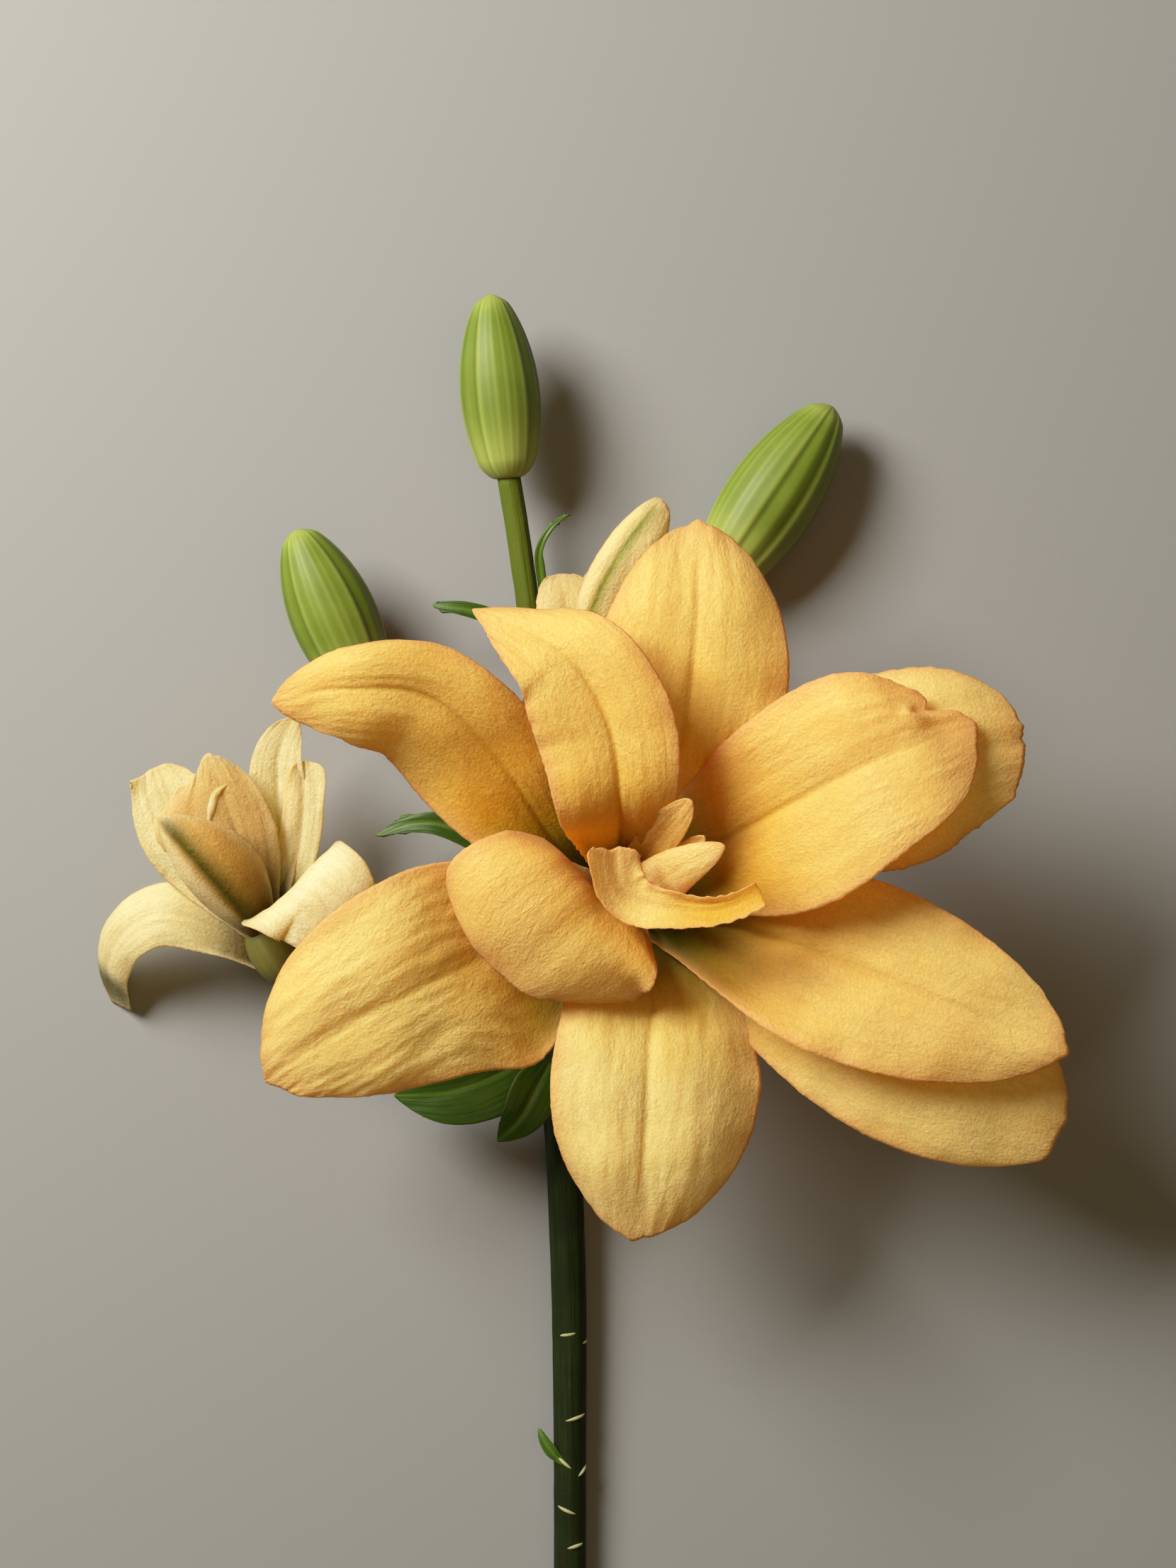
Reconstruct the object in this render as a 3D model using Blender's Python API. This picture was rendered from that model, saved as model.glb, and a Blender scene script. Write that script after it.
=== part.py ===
"""Cut spray of a double LA hybrid lily, lying on a surface with its open bloom facing up.

One stem carries an apricot double bloom, a faded half-open bloom on its left, a second
faded bloom behind, three green buds, two whorl leaves, two small leaves and a bract.
The stem lies along Y with its cut end at -Y, and +Z is up.
Sizes are in millimetres and become metres in place(). Plan positions count from the
main bloom's throat, and heights from the surface that the spray lies on.
"""

import math

import bmesh
import bpy
from mathutils import Matrix, Vector

MM = 0.001

# Driving dimensions
PLAN_CENTRE = Vector((-12.0, -21.0, 0.0))  # middle of the whole outline, seen from above
PETAL_THICKNESS = 0.9
LEAF_THICKNESS = 0.75
SEAT_GAP = 0.3  # between a stalk and the bloom, bud or leaf that it carries
STEM_RADIUS = 3.4
STALK_RADIUS = 2.4
TUBE_SIDES = 12

# Colours as linear RGB
APRICOT = (0.87, 0.48, 0.14)
CREAM = (0.80, 0.66, 0.33)
BUD_GREEN = (0.24, 0.40, 0.06)
STEM_GREEN = (0.06, 0.12, 0.02)
LEAF_GREEN = (0.02, 0.10, 0.02)

# Main stem, from its cut end to the tallest bud
STEM_ROUTE = [
    (-11.3, -165, 3.3), (-11.3, -128, 4.2), (-11.4, -92, 5.2), (-12, -68, 6.4),
    (-13, -48, 8), (-14.8, -30, 9), (-16.5, -8, 9.5), (-17.6, 20, 10),
    (-19.2, 52, 11), (-21.5, 71, 12.5), (-23.7, 85, 14),
]
STEM_RADII = [3.3, 3.35, 3.4, 3.6, 3.7, 3.7, 3.3, 2.9, 2.5, 2.4, 2.4]

# Stalks that leave the stem, each from inside the stem to the bloom or bud that it carries
STALK_ROUTES = {
    "main": [(-14.6, -32, 9), (-11, -24, 10), (-5, -13, 12.5), (-1, -5, 16.5), (0, -1, 21)],
    "left_bloom": [(-15, -29, 9), (-28, -31, 10.5), (-46, -28, 12), (-60, -22.5, 13), (-69.3, -17.2, 14.1)],
    "left_bud": [(-16.4, -9, 9.4), (-24, 4, 10.5), (-37.5, 23, 12), (-52.9, 41.5, 14)],
    "right_bud": [(-16.6, -3, 9.4), (-6, 13, 8.8), (8, 38, 8.8), (18.9, 64.6, 8.9)],
    "back_bloom": [(-17.3, 12, 9.8), (-15, 20, 10.5), (-10.5, 28, 12), (-8, 35, 14)],
}

# Scars where leaves were stripped: height up the stem, and turn round it from the top side
LEAF_SCARS = [
    (-92, -5), (-94, 80), (-110, 26), (-119, -20), (-121, 55), (-129, -12), (-137, 22), (-148, -40),
]

# What is left of one stripped leaf, on the stem
LEAF_REMNANT = [(-12.6, -119.5, 7.4), (-14.8, -117.3, 7.6), (-16.6, -114.8, 7.2), (-17.8, -112.4, 6.4)]

# A petal runs along its spine. Left and right are as seen from its root. Cup is how far its
# edges rise, and roll how far it turns, in degrees at the root, the middle and the tip.
PETAL = {
    "half_width": 18.0,
    "skew": 0.0,  # how much wider its left half is than its right, as a share
    "claw": 0.24,  # half width at the root, as a share
    "widest": 0.6,  # where along its length it is widest
    "point": 0.55,  # 0.5 is a round tip, 1 a pointed one
    "cup": (60, 22, 8),
    "roll": (0, 0, 0),
    "wave": (0.6, 2.0, 0.0),  # height, waves along an edge, phase
    "facing": None,  # heading that the petal faces, where it isn't from its root to its tip
    "rows": 9,
    "columns": 6,
    "thickness": PETAL_THICKNESS,
}

MAIN_BLOOM = {
    "top": dict(
        spine=[(0, 2, 26), (6.9, 17, 44), (11.2, 33.9, 54), (13.2, 53.8, 57.5), (13.5, 72.8, 54)],
        half_width=18.7, widest=0.62, cup=(60, 5, -12),
    ),
    "lower_left": dict(
        spine=[(-3, -4, 25), (-20, -8, 37), (-37, -15.4, 51), (-54.5, -25, 52.5), (-70, -35.5, 46)],
        half_width=20.7, skew=-0.04, widest=0.52, point=0.62, claw=0.34, cup=(60, 2, -10), roll=(0, -11, -8),
    ),
    "lower_right_back": dict(
        spine=[(4, -3, 25), (24, -14, 39), (43.4, -23.9, 50), (63.7, -33.5, 54.5), (84.1, -42.2, 52)],
        half_width=18.1, widest=0.66, point=0.5, cup=(60, 2, -14),
    ),
    "upper_left": dict(
        spine=[(-4, 3, 26), (-13, 10, 37), (-25, 27, 48), (-38, 38.8, 56), (-54, 40.4, 60), (-68, 38.0, 57)],
        half_width=13.7, skew=0.22, widest=0.5, point=0.75, cup=(60, -20, -15), roll=(0, -16, -4),
    ),
    "right_back": dict(
        spine=[(4, 1, 26), (23, 12, 43), (41.4, 22.5, 54.5), (58.6, 29.3, 60.5), (75.8, 30.3, 59)],
        half_width=17.3, widest=0.66, point=0.5, cup=(60, 4, -12),
    ),
    "bottom": dict(
        spine=[(2, -4, 25), (5, -16, 40), (4.5, -30, 49), (3.4, -48, 52), (1.4, -66, 47)],
        half_width=20.5, skew=0.09, widest=0.57, point=0.58, cup=(60, 4, -12), roll=(0, -5, -3),
    ),
    "lower_right": dict(
        spine=[(4, -3, 27), (23, -6, 44), (41, -11.5, 54), (61, -19, 58), (83.3, -28.4, 57)],
        half_width=17.8, skew=-0.04, widest=0.52, point=0.62, claw=0.32, cup=(60, 12, 4), roll=(0, -8, 0),
    ),
    "upper_middle": dict(
        spine=[(-2, 4, 28), (-1.5, 17, 61), (-3.5, 33, 67.5), (-12, 47, 69), (-28.5, 55.5, 64)],
        half_width=13.0, skew=0.06, widest=0.6, point=0.85, cup=(60, 12, -8), facing=95,
    ),
    "right": dict(
        spine=[(3, 2, 28), (21, 13, 51), (37, 22.5, 64), (51, 29, 68), (65.5, 34, 64)],
        half_width=19.5, widest=0.62, point=0.5, cup=(60, 14, 4), roll=(0, -6, -8),
    ),
    "folded": dict(
        spine=[
            (-2, -2, 27), (-3.5, -1, 41), (-5.5, 0.5, 52), (-9.5, -2, 58),
            (-16, -8, 58.5), (-23, -16, 52),
        ],
        half_width=24, skew=-0.05, widest=0.72, point=0.5, claw=0.16, cup=(60, -10, -20), facing=226,
        roll=(0, -6, -12, -10), wave=(0, 1, 0),
    ),
}

# Small petals where the stamens of a single bloom would be
PETALOIDS = {
    "inner_upright": dict(
        spine=[(1.5, 3.5, 30), (3.5, 8, 46), (7, 13.5, 57), (11.6, 19.3, 66)],
        half_width=3.2, claw=1.3, point=0.5, cup=(60, 30, 10),
    ),
    "inner_bright": dict(
        spine=[(2.5, 1, 30), (4.5, 2.5, 51), (9.5, 6.5, 65), (17.4, 10.9, 72)],
        half_width=4.2, claw=0.9, widest=0.5, cup=(50, -20, -30),
    ),
    "inner_small": dict(
        spine=[(3, 1.5, 30), (7, 4, 43), (11, 8.5, 53), (14.3, 12.4, 61)], half_width=2.8, cup=(50, 40, 30),
    ),
    "inner_stalk": dict(
        spine=[(1, 0, 30), (2, 0.5, 42), (2.3, 0.1, 54), (2.4, 0, 64.5)],
        half_width=2, claw=0.8, cup=(20, 20, 20),
    ),
    "inner_ribbon": dict(
        spine=[
            (26, 2.8, 68), (18, -0.6, 67), (9.5, -1, 65), (1.8, 0.2, 63),
            (-1.8, 4.2, 64), (-1.6, 10.2, 66),
        ],
        half_width=5.0, claw=0.3, widest=0.85, point=0.3, cup=(30, 45, 20), roll=(0, 8, 8), rows=8,
    ),
}
PETALOID = dict(PETAL, rows=6, columns=2, wave=(0, 1, 0), claw=0.5)

LEFT_BLOOM = {
    "keeled_front": dict(
        spine=[(-72.5, -10.5, 17.5), (-76, -5, 25.5), (-84, 5.5, 33.5), (-93, 16.1, 35)],
        half_width=8.6, skew=-0.3, widest=0.5, point=0.8, cup=(-50, -50, -30),
    ),
    "golden": dict(
        spine=[(-73, -9, 17), (-76, 3, 21), (-80, 16, 25.5), (-84, 28, 27)],
        half_width=10.8, skew=0.24, widest=0.6, point=0.6, cup=(-30, -15, -10),
    ),
    "pale_left": dict(
        spine=[(-73.5, -9.5, 15.5), (-82.3, 2, 17.5), (-90.5, 14, 20), (-95.6, 26, 21)],
        half_width=9.2, widest=0.62, point=0.4, cup=(30, 10, 10),
    ),
    "upright": dict(
        spine=[(-72, -8.5, 16), (-71.5, 5, 17.5), (-71, 20, 20), (-70.4, 29, 22), (-66.8, 35.9, 23)],
        half_width=5.9, widest=0.64, point=0.6, cup=(30, 12, 20),
    ),
    "strap_right": dict(
        spine=[(-71, -9, 14), (-68.2, 3, 17), (-65.8, 15, 20.5), (-65.2, 27.1, 22)],
        half_width=4.3, widest=0.6, point=0.3, cup=(20, 10, 20), roll=(0, 0, 10),
    ),
    "rolled_back": dict(
        spine=[
            (-72, -7, 17), (-70, -2, 23), (-66.8, 1.6, 30), (-63, 1.2, 34),
            (-58, -3, 34), (-53.5, -7, 30),
        ],
        half_width=12, widest=0.38, point=0.3, claw=0.4, cup=(40, 5, 0), facing=315,
    ),
    "arching_left": dict(
        spine=[
            (-70, -17, 13), (-82, -7.8, 17), (-93.4, -3.8, 18.5), (-102.6, -7.8, 15.5),
            (-107.4, -16, 7.6), (-106.8, -24.2, 1.15),
        ],
        half_width=6.8, widest=0.42, point=0.35, cup=(40, -20, -30),
    ),
}
BACK_BLOOM = {
    "keeled": dict(
        spine=[(-8, 37, 16), (-7.5, 48, 25), (-5, 58, 31), (1, 69, 34), (8.5, 79.5, 33)],
        half_width=6.6, skew=-0.12, point=0.7, cup=(-50, -50, -30),
    ),
    "left": dict(
        spine=[(-9, 37, 14), (-11, 46, 17), (-12, 56, 19), (-12.4, 65.5, 19)],
        half_width=6, widest=0.7, point=0.3, cup=(40, 5, 0),
    ),
    "inner": dict(
        spine=[(-8, 37, 15), (-5, 49, 21), (-1.5, 60, 24), (3, 70, 25)], half_width=6.5, cup=(-40, -30, -10),
    ),
    "right": dict(
        spine=[(-6, 36, 15), (1, 44, 17), (9, 52, 19), (15, 61, 18)], half_width=6.5, cup=(40, 20, 10),
    ),
    "under": dict(
        spine=[(-8, 37, 12.5), (-7.5, 48, 13), (-6, 58, 14), (-3, 68, 14)], half_width=6, cup=(40, 25, 20),
    ),
}
FADED_PETAL = dict(PETAL, rows=7, columns=4, wave=(0.4, 2.5, 0.3), claw=0.3)

# Each bloom's receptacle: middle, direction of its axis, radius and half length
RECEPTACLES = {
    "main_bloom": ((0, -0.5, 27), (0, 0.05, 1), 6.6, 6.6),
    "left_bloom": ((-72.2, -12.5, 16.5), (-0.5, 0.78, 0.38), 4.8, 8.0),
    "back_bloom": ((-8, 37.5, 14.8), (0.1, 0.95, 0.3), 4.0, 5.0),
}

# Buds: root, tip and largest radius
BUDS = {
    "top_bud": ((-23.9, 85.6, 14.1), (-27.6, 123, 17), 8.2),
    "left_bud": ((-53.2, 41.9, 14.1), (-67.4, 74.6, 18), 8.9),
    "right_bud": ((19.1, 65, 8.9), (43.3, 101, 10), 9.7),
}

LEAF = dict(
    PETAL, rows=6, columns=2, widest=0.45, point=0.85, claw=0.35, cup=(25, 14, 5),
    wave=(0, 1, 0), thickness=LEAF_THICKNESS,
)
LEAVES = {
    "whorl_leaf_left": dict(
        spine=[(-15, -31, 10), (-25, -37, 14), (-36, -41, 15), (-47.5, -42, 13)], half_width=8, columns=4,
    ),
    "whorl_leaf_down": dict(
        spine=[(-14.5, -34, 10.5), (-17.5, -39, 17), (-21, -45.5, 18.5), (-26, -51, 16)],
        half_width=5, columns=4,
    ),
    "side_leaf": dict(
        spine=[(-17, -1, 10.5), (-25, 8, 16.5), (-36, 13.8, 18.5), (-44, 14.3, 18), (-51.4, 11.8, 16)],
        half_width=2.8,
    ),
    "top_leaf": dict(
        spine=[(-19.2, 54, 11), (-26, 58.5, 15), (-33, 60.5, 16), (-39, 59.3, 15)], half_width=2.3,
    ),
    "top_bract": dict(
        spine=[(-17, 55, 11), (-17, 63, 14.5), (-17.6, 70, 16.5), (-15.2, 75, 17.2), (-11.3, 78, 17)],
        half_width=1.5, claw=0.8,
    ),
}

FRAME_STEPS = 32  # stations at which a spine's direction is worked out


def place(point):
    """A design point in millimetres as a position in metres, about the middle of the outline."""
    return (Vector(point) - PLAN_CENTRE) * MM


def along(values, share):
    """The value at a share (0 to 1) of the way along evenly spaced numbers or vectors."""
    last = len(values) - 1
    index = min(int(share * last), last - 1)
    f = share * last - index
    a = values[max(index - 1, 0)]
    b = values[index]
    c = values[index + 1]
    d = values[min(index + 2, last)]
    slope = (c - a) * f
    bend = (a * 2 - b * 5 + c * 4 - d) * (f * f)
    twist = (b * 3 - a - c * 3 + d) * (f * f * f)
    return (b * 2 + slope + bend + twist) * 0.5


def even_points(route, count):
    """Points at even distances along the smooth curve through a route."""
    fine = [along([Vector(p) for p in route], i / 200) for i in range(201)]
    lengths = [0.0]
    for a, b in zip(fine, fine[1:]):
        lengths.append(lengths[-1] + (b - a).length)
    points = []
    index = 0
    for step in range(count + 1):
        target = lengths[-1] * step / count
        while index < 199 and lengths[index + 1] < target:
            index += 1
        span = lengths[index + 1] - lengths[index]
        points.append(fine[index].lerp(fine[index + 1], min((target - lengths[index]) / span, 1)))
    return points


def spine_frames(route, facing, count=FRAME_STEPS):
    """Position, direction, side and upward normal along a route.

    The side turns as little as possible from one station to the next, or keeps square to
    the facing where one is given.
    """
    points = even_points(route, count)
    reach = points[-1] - points[0]
    heading = math.atan2(reach.y, reach.x) if facing is None else math.radians(facing)
    level = Vector((-math.sin(heading), math.cos(heading), 0))
    side = level
    frames = []
    for i, point in enumerate(points):
        direction = (points[min(i + 1, count)] - points[max(i - 1, 0)]).normalized()
        side = side if facing is None else level
        side = (side - direction * side.dot(direction)).normalized()
        frames.append((point, direction, side, direction.cross(side)))
    return frames


def frame_at(frames, share):
    """The spine's frame at a share of its length."""
    last = len(frames) - 1
    index = min(int(share * last), last - 1)
    f = share * last - index
    return [a.lerp(b, f) for a, b in zip(frames[index], frames[index + 1])]


def half_width_at(petal, share):
    """Half the petal's width at a share of its length."""
    widest = petal["widest"]
    if share < widest:
        rise = share / widest
        rise = rise * rise * (3 - 2 * rise)
        return petal["half_width"] * (petal["claw"] + (1 - petal["claw"]) * rise ** 0.8)
    fall = (share - widest) / (1 - widest)
    return petal["half_width"] * max(1 - fall * fall, 0) ** petal["point"]


def edge_share(petal, across, tip_width=0.55):
    """How far along the tip's outline is at this distance across, where the last row runs."""
    inset = (abs(across) * tip_width) ** (1 / petal["point"])
    return petal["widest"] + (1 - petal["widest"]) * math.sqrt(1 - inset)


def petal_point(petal, frames, up, across):
    """A point of the petal's upper face: up is 0 at the root and 1 at the rim, across -1 to 1."""
    share = up * edge_share(petal, across)
    half_width = half_width_at(petal, up * edge_share(petal, 1))
    half_width *= 1 + petal["skew"] * (1 if across > 0 else -1)
    cup = math.radians(along(petal["cup"], share))
    roll = math.radians(along(petal["roll"], share))
    point, _, side, normal = frame_at(frames, share)
    if abs(cup) < 0.01:
        outward, lift = half_width * across, 0
    else:
        outward = half_width * math.sin(cup * across) / cup
        lift = half_width * (1 - math.cos(cup * across)) / cup
    height, count, phase = petal["wave"]
    offset = 0.35 if across > 0 else 0
    lift += height * abs(across) ** 2.2 * up * math.sin(math.tau * (count * share + phase + offset))
    turned_side = side * math.cos(roll) + normal * math.sin(roll)
    turned_normal = normal * math.cos(roll) - side * math.sin(roll)
    return point + turned_side * outward + turned_normal * lift


def new_object(name, mesh_maker, colour, roughness=0.5, collection=None):
    """Makes an object from a bmesh, with a plain Principled material."""
    mesh = bpy.data.meshes.new(name)
    bmesh.ops.recalc_face_normals(mesh_maker, faces=mesh_maker.faces)
    mesh_maker.to_mesh(mesh)
    mesh_maker.free()
    mesh.shade_smooth()
    obj = bpy.data.objects.new(name, mesh)
    (collection or bpy.context.scene.collection).objects.link(obj)
    material = bpy.data.materials.new(name)
    material.use_nodes = True
    shader = material.node_tree.nodes["Principled BSDF"]
    shader.inputs["Base Color"].default_value = (*colour, 1)
    shader.inputs["Roughness"].default_value = roughness
    mesh.materials.append(material)
    return obj


def petal_mesh(settings):
    """A closed thin petal: a grid bent to the petal's face, thickened downwards."""
    frames = spine_frames(settings["spine"], settings["facing"])
    bm = bmesh.new()
    bmesh.ops.create_grid(bm, x_segments=settings["columns"], y_segments=settings["rows"], size=1)
    for vert in bm.verts:
        vert.co = place(petal_point(settings, frames, (vert.co.y + 1) / 2, vert.co.x))
    bmesh.ops.triangulate(bm, faces=bm.faces)
    bmesh.ops.solidify(bm, geom=bm.faces, thickness=settings["thickness"] * MM)
    return bm


def ellipsoid_mesh(middle, axis, radius, half_length, segments=16, rings=10):
    """A solid ellipsoid of revolution about an axis."""
    bm = bmesh.new()
    turn = Vector(axis).to_track_quat("Z", "Y").to_matrix().to_4x4()
    size = Matrix.Diagonal((radius * MM, radius * MM, half_length * MM, 1))
    matrix = Matrix.Translation(place(middle)) @ turn @ size
    bmesh.ops.create_uvsphere(bm, u_segments=segments, v_segments=rings, radius=1, matrix=matrix)
    return bm


def tube_mesh(route, radii, stations, extra=0.0):
    """A solid round tube along a route, with flat ends."""
    frames = spine_frames(route, None, stations)
    bm = bmesh.new()
    bmesh.ops.create_grid(bm, x_segments=TUBE_SIDES, y_segments=stations, size=1)
    for vert in bm.verts:
        share = (vert.co.y + 1) / 2
        turn = math.pi * vert.co.x
        radius = along(radii, share) + extra
        point, _, side, normal = frames[round(share * stations)]
        vert.co = place(point + (side * math.cos(turn) + normal * math.sin(turn)) * radius)
    bmesh.ops.remove_doubles(bm, verts=bm.verts, dist=0.01 * MM)
    bmesh.ops.holes_fill(bm, edges=bm.edges)
    return bm


def joined(name, first, others, colour, roughness):
    """One solid: the first mesh united with the others, which are then removed."""
    gathered = bpy.data.collections.new(name + "_pieces")
    bpy.context.scene.collection.children.link(gathered)
    for i, mesh_maker in enumerate(others):
        new_object(f"{name}_piece_{i}", mesh_maker, colour, roughness, gathered)
    obj = new_object(name, first, colour, roughness)
    union = obj.modifiers.new("union", "BOOLEAN")
    union.operand_type = "COLLECTION"
    union.collection = gathered
    union.operation = "UNION"
    union.solver = "EXACT"
    union.use_self = True
    apply_modifiers(obj)
    for piece in list(gathered.objects):
        bpy.data.objects.remove(piece)
    bpy.data.collections.remove(gathered)
    return obj


def apply_modifiers(obj):
    """Replaces the object's mesh with the one that its modifiers give, with no closed pockets."""
    graph = bpy.context.evaluated_depsgraph_get()
    mesh = bpy.data.meshes.new_from_object(obj.evaluated_get(graph))
    obj.modifiers.clear()
    obj.data = mesh
    bm = bmesh.new()
    bm.from_mesh(mesh)
    fill_pockets(bm)
    bm.to_mesh(mesh)
    bm.free()


def fill_pockets(bm):
    """Takes away each closed inner skin, which faces inwards, so that its pocket is solid."""
    unseen = set(bm.faces)
    for start in list(bm.faces):
        if start not in unseen:
            continue
        unseen.discard(start)
        skin = [start]
        for face in skin:
            for edge in face.edges:
                fresh = [other for other in edge.link_faces if other in unseen]
                unseen.difference_update(fresh)
                skin.extend(fresh)
        if sum(f.calc_center_median().dot(f.normal) * f.calc_area() for f in skin) < 0:
            bmesh.ops.delete(bm, geom=skin, context="FACES")


def build_stem():
    """The stem, its stalks and its leaf scars as one solid."""
    stalks = []
    for name, route in STALK_ROUTES.items():
        stalks.append(tube_mesh(route, stalk_radii(name), 8))
    stem_points = even_points(STEM_ROUTE, 100)
    for height, turn in LEAF_SCARS:
        nearest = min(stem_points, key=lambda p: abs(p.y - height))
        out = Vector((math.sin(math.radians(turn)), 0, math.cos(math.radians(turn))))
        scar = nearest + out * (STEM_RADIUS - 0.3)
        stalks.append(ellipsoid_mesh(scar, (0, 1, 0), 1.5, 0.8, 8, 5))
    remnant = {**LEAF, "spine": LEAF_REMNANT, "half_width": 1.3, "rows": 4}
    stalks.append(petal_mesh(remnant))
    stem = joined("stem", tube_mesh(STEM_ROUTE, STEM_RADII, 26), stalks, STEM_GREEN, 0.5)
    return stem


def stalk_radii(name):
    """A stalk's radii, wider where it leaves the stem and where it meets a bloom."""
    head = {"main": 3.4, "left_bloom": 2.6}.get(name, STALK_RADIUS)
    return [STALK_RADIUS + 0.3, STALK_RADIUS, STALK_RADIUS, head]


def stem_cutters():
    """The stem and its stalks a little fatter, to cut clear whatever sits on them."""
    cutters = [tube_mesh(STEM_ROUTE, STEM_RADII, 26, SEAT_GAP)]
    for name, route in STALK_ROUTES.items():
        end = Vector(route[-1])
        before = Vector(route[-2])
        longer = route[:-1] + [tuple(end + (end - before).normalized() * SEAT_GAP)]
        cutters.append(tube_mesh(longer, stalk_radii(name), 8, SEAT_GAP))
    cutter = joined("stem_cutter", cutters[0], cutters[1:], STEM_GREEN, 0.5)
    cutter.hide_render = True
    cutter.display_type = "WIRE"
    return cutter


def cut_clear(obj, cutter):
    """Trims a piece where it would enter the stem."""
    cut = obj.modifiers.new("seat", "BOOLEAN")
    cut.object = cutter
    cut.operation = "DIFFERENCE"
    cut.solver = "EXACT"


def build_bloom(name, groups, colour, cutter):
    """A receptacle with every petal of the bloom grown into it."""
    petals = []
    for defaults, members in groups:
        for settings in members.values():
            petals.append(petal_mesh({**defaults, **settings}))
    middle, axis, radius, half_length = RECEPTACLES[name]
    core = ellipsoid_mesh(middle, axis, radius, half_length)
    bloom = joined(name, core, petals, colour, 0.55)
    cut_clear(bloom, cutter)
    return bloom


def bud_radius(share, turn):
    """A bud's radius as a share of its largest: three fat lobes with a groove between them."""
    body = math.sin(math.pi * min(0.12 + 0.855 * share, 1)) ** 0.55
    lobes = 1 - 0.09 * abs(math.cos(1.5 * turn)) ** 8 - 0.03 * abs(math.sin(1.5 * turn)) ** 10
    return body * lobes


def build_bud(name, cutter):
    """A closed bud: a ball drawn out along its axis and grooved, flat where it lies down."""
    root, tip, radius = BUDS[name]
    axis = Vector(tip) - Vector(root)
    turn = axis.to_track_quat("Z", "Y")
    bm = bmesh.new()
    bmesh.ops.create_uvsphere(bm, u_segments=24, v_segments=12, radius=1)
    for vert in bm.verts:
        angle = math.atan2(vert.co.y, vert.co.x)
        share = math.acos(max(-1, min(1, -vert.co.z))) / math.pi
        pole = min(share, 1 - share) < 0.001
        width = 0 if pole else radius * bud_radius(share, angle)
        local = Vector((width * math.cos(angle), width * math.sin(angle), axis.length * share))
        spot = Vector(root) + turn @ local
        spot.z = max(spot.z, 0)
        vert.co = place(spot)
    bud = new_object(name, bm, BUD_GREEN, 0.4)
    cut_clear(bud, cutter)
    return bud


def build_leaf(name, cutter):
    """A leaf, trimmed where it meets the stem."""
    leaf = new_object(name, petal_mesh({**LEAF, **LEAVES[name]}), LEAF_GREEN, 0.45)
    cut_clear(leaf, cutter)
    return leaf


def main():
    for obj in list(bpy.data.objects):
        bpy.data.objects.remove(obj)
    build_stem()
    cutter = stem_cutters()
    build_bloom("main_bloom", [(PETAL, MAIN_BLOOM), (PETALOID, PETALOIDS)], APRICOT, cutter)
    build_bloom("left_bloom", [(FADED_PETAL, LEFT_BLOOM)], CREAM, cutter)
    build_bloom("back_bloom", [(FADED_PETAL, BACK_BLOOM)], CREAM, cutter)
    for name in BUDS:
        build_bud(name, cutter)
    for name in LEAVES:
        build_leaf(name, cutter)


main()
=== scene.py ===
import math

import bmesh
import bpy
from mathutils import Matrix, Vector, noise


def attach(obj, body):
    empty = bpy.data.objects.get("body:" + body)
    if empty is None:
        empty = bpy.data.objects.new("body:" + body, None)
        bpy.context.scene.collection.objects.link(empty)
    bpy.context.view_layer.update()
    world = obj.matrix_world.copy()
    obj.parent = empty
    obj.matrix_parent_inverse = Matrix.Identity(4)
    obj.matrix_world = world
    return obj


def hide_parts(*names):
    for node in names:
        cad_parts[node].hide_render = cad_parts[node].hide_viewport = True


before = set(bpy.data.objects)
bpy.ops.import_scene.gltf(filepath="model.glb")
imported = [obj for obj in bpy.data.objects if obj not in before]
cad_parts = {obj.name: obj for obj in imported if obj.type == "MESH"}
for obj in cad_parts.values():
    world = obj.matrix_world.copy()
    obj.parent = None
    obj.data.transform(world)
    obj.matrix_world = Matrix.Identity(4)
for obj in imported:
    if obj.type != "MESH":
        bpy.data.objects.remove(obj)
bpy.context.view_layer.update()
print("frame loaded")

mm = 0.001
# middle of the spray's outline, counted in mm from the open bloom's throat
planCentre = Vector((-12.0, -21.0, 0.0))


# ---- general helpers

def toRow(point):
    # a point in mm, counted from the throat, as a place in the row frame
    return (Vector(point) - planCentre) * mm


def paint(hexColour):
    # sRGB hex to the linear colour that a socket takes
    channels = [int(hexColour[i:i + 2], 16) / 255 for i in (1, 3, 5)]
    return [c / 12.92 if c <= 0.04045 else ((c + 0.055) / 1.055) ** 2.4 for c in channels] + [1.0]


def addNode(tree, kind, settings=None, inputs=None, stops=None):
    # one node, with its settings, its input values or links, and a ramp's stops
    node = tree.nodes.new(kind)
    for name, value in (settings or {}).items():
        setattr(node, name, value)
    for name, value in (inputs or {}).items():
        if isinstance(value, bpy.types.NodeSocket):
            tree.links.new(value, node.inputs[name])
        else:
            node.inputs[name].default_value = value
    if stops:
        ramp = node.color_ramp
        while len(ramp.elements) < len(stops):
            ramp.elements.new(0.5)
        for element, (position, colour) in zip(ramp.elements, stops):
            element.position = position
            element.color = paint(colour)
    return node


def newMaterial(name):
    material = bpy.data.materials.new(name)
    material.use_nodes = True
    material.node_tree.nodes.clear()
    return material, material.node_tree


def finishPiece(name, bm, node, materials):
    # turns a bmesh into a piece of the object that stands for a CAD node
    mesh = bpy.data.meshes.new(name)
    bm.to_mesh(mesh)
    bm.free()
    mesh.shade_smooth()
    for material in materials:
        mesh.materials.append(material)
    piece = bpy.data.objects.new(name, mesh)
    bpy.context.scene.collection.objects.link(piece)
    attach(piece, "root")
    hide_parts(node)
    return piece


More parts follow.
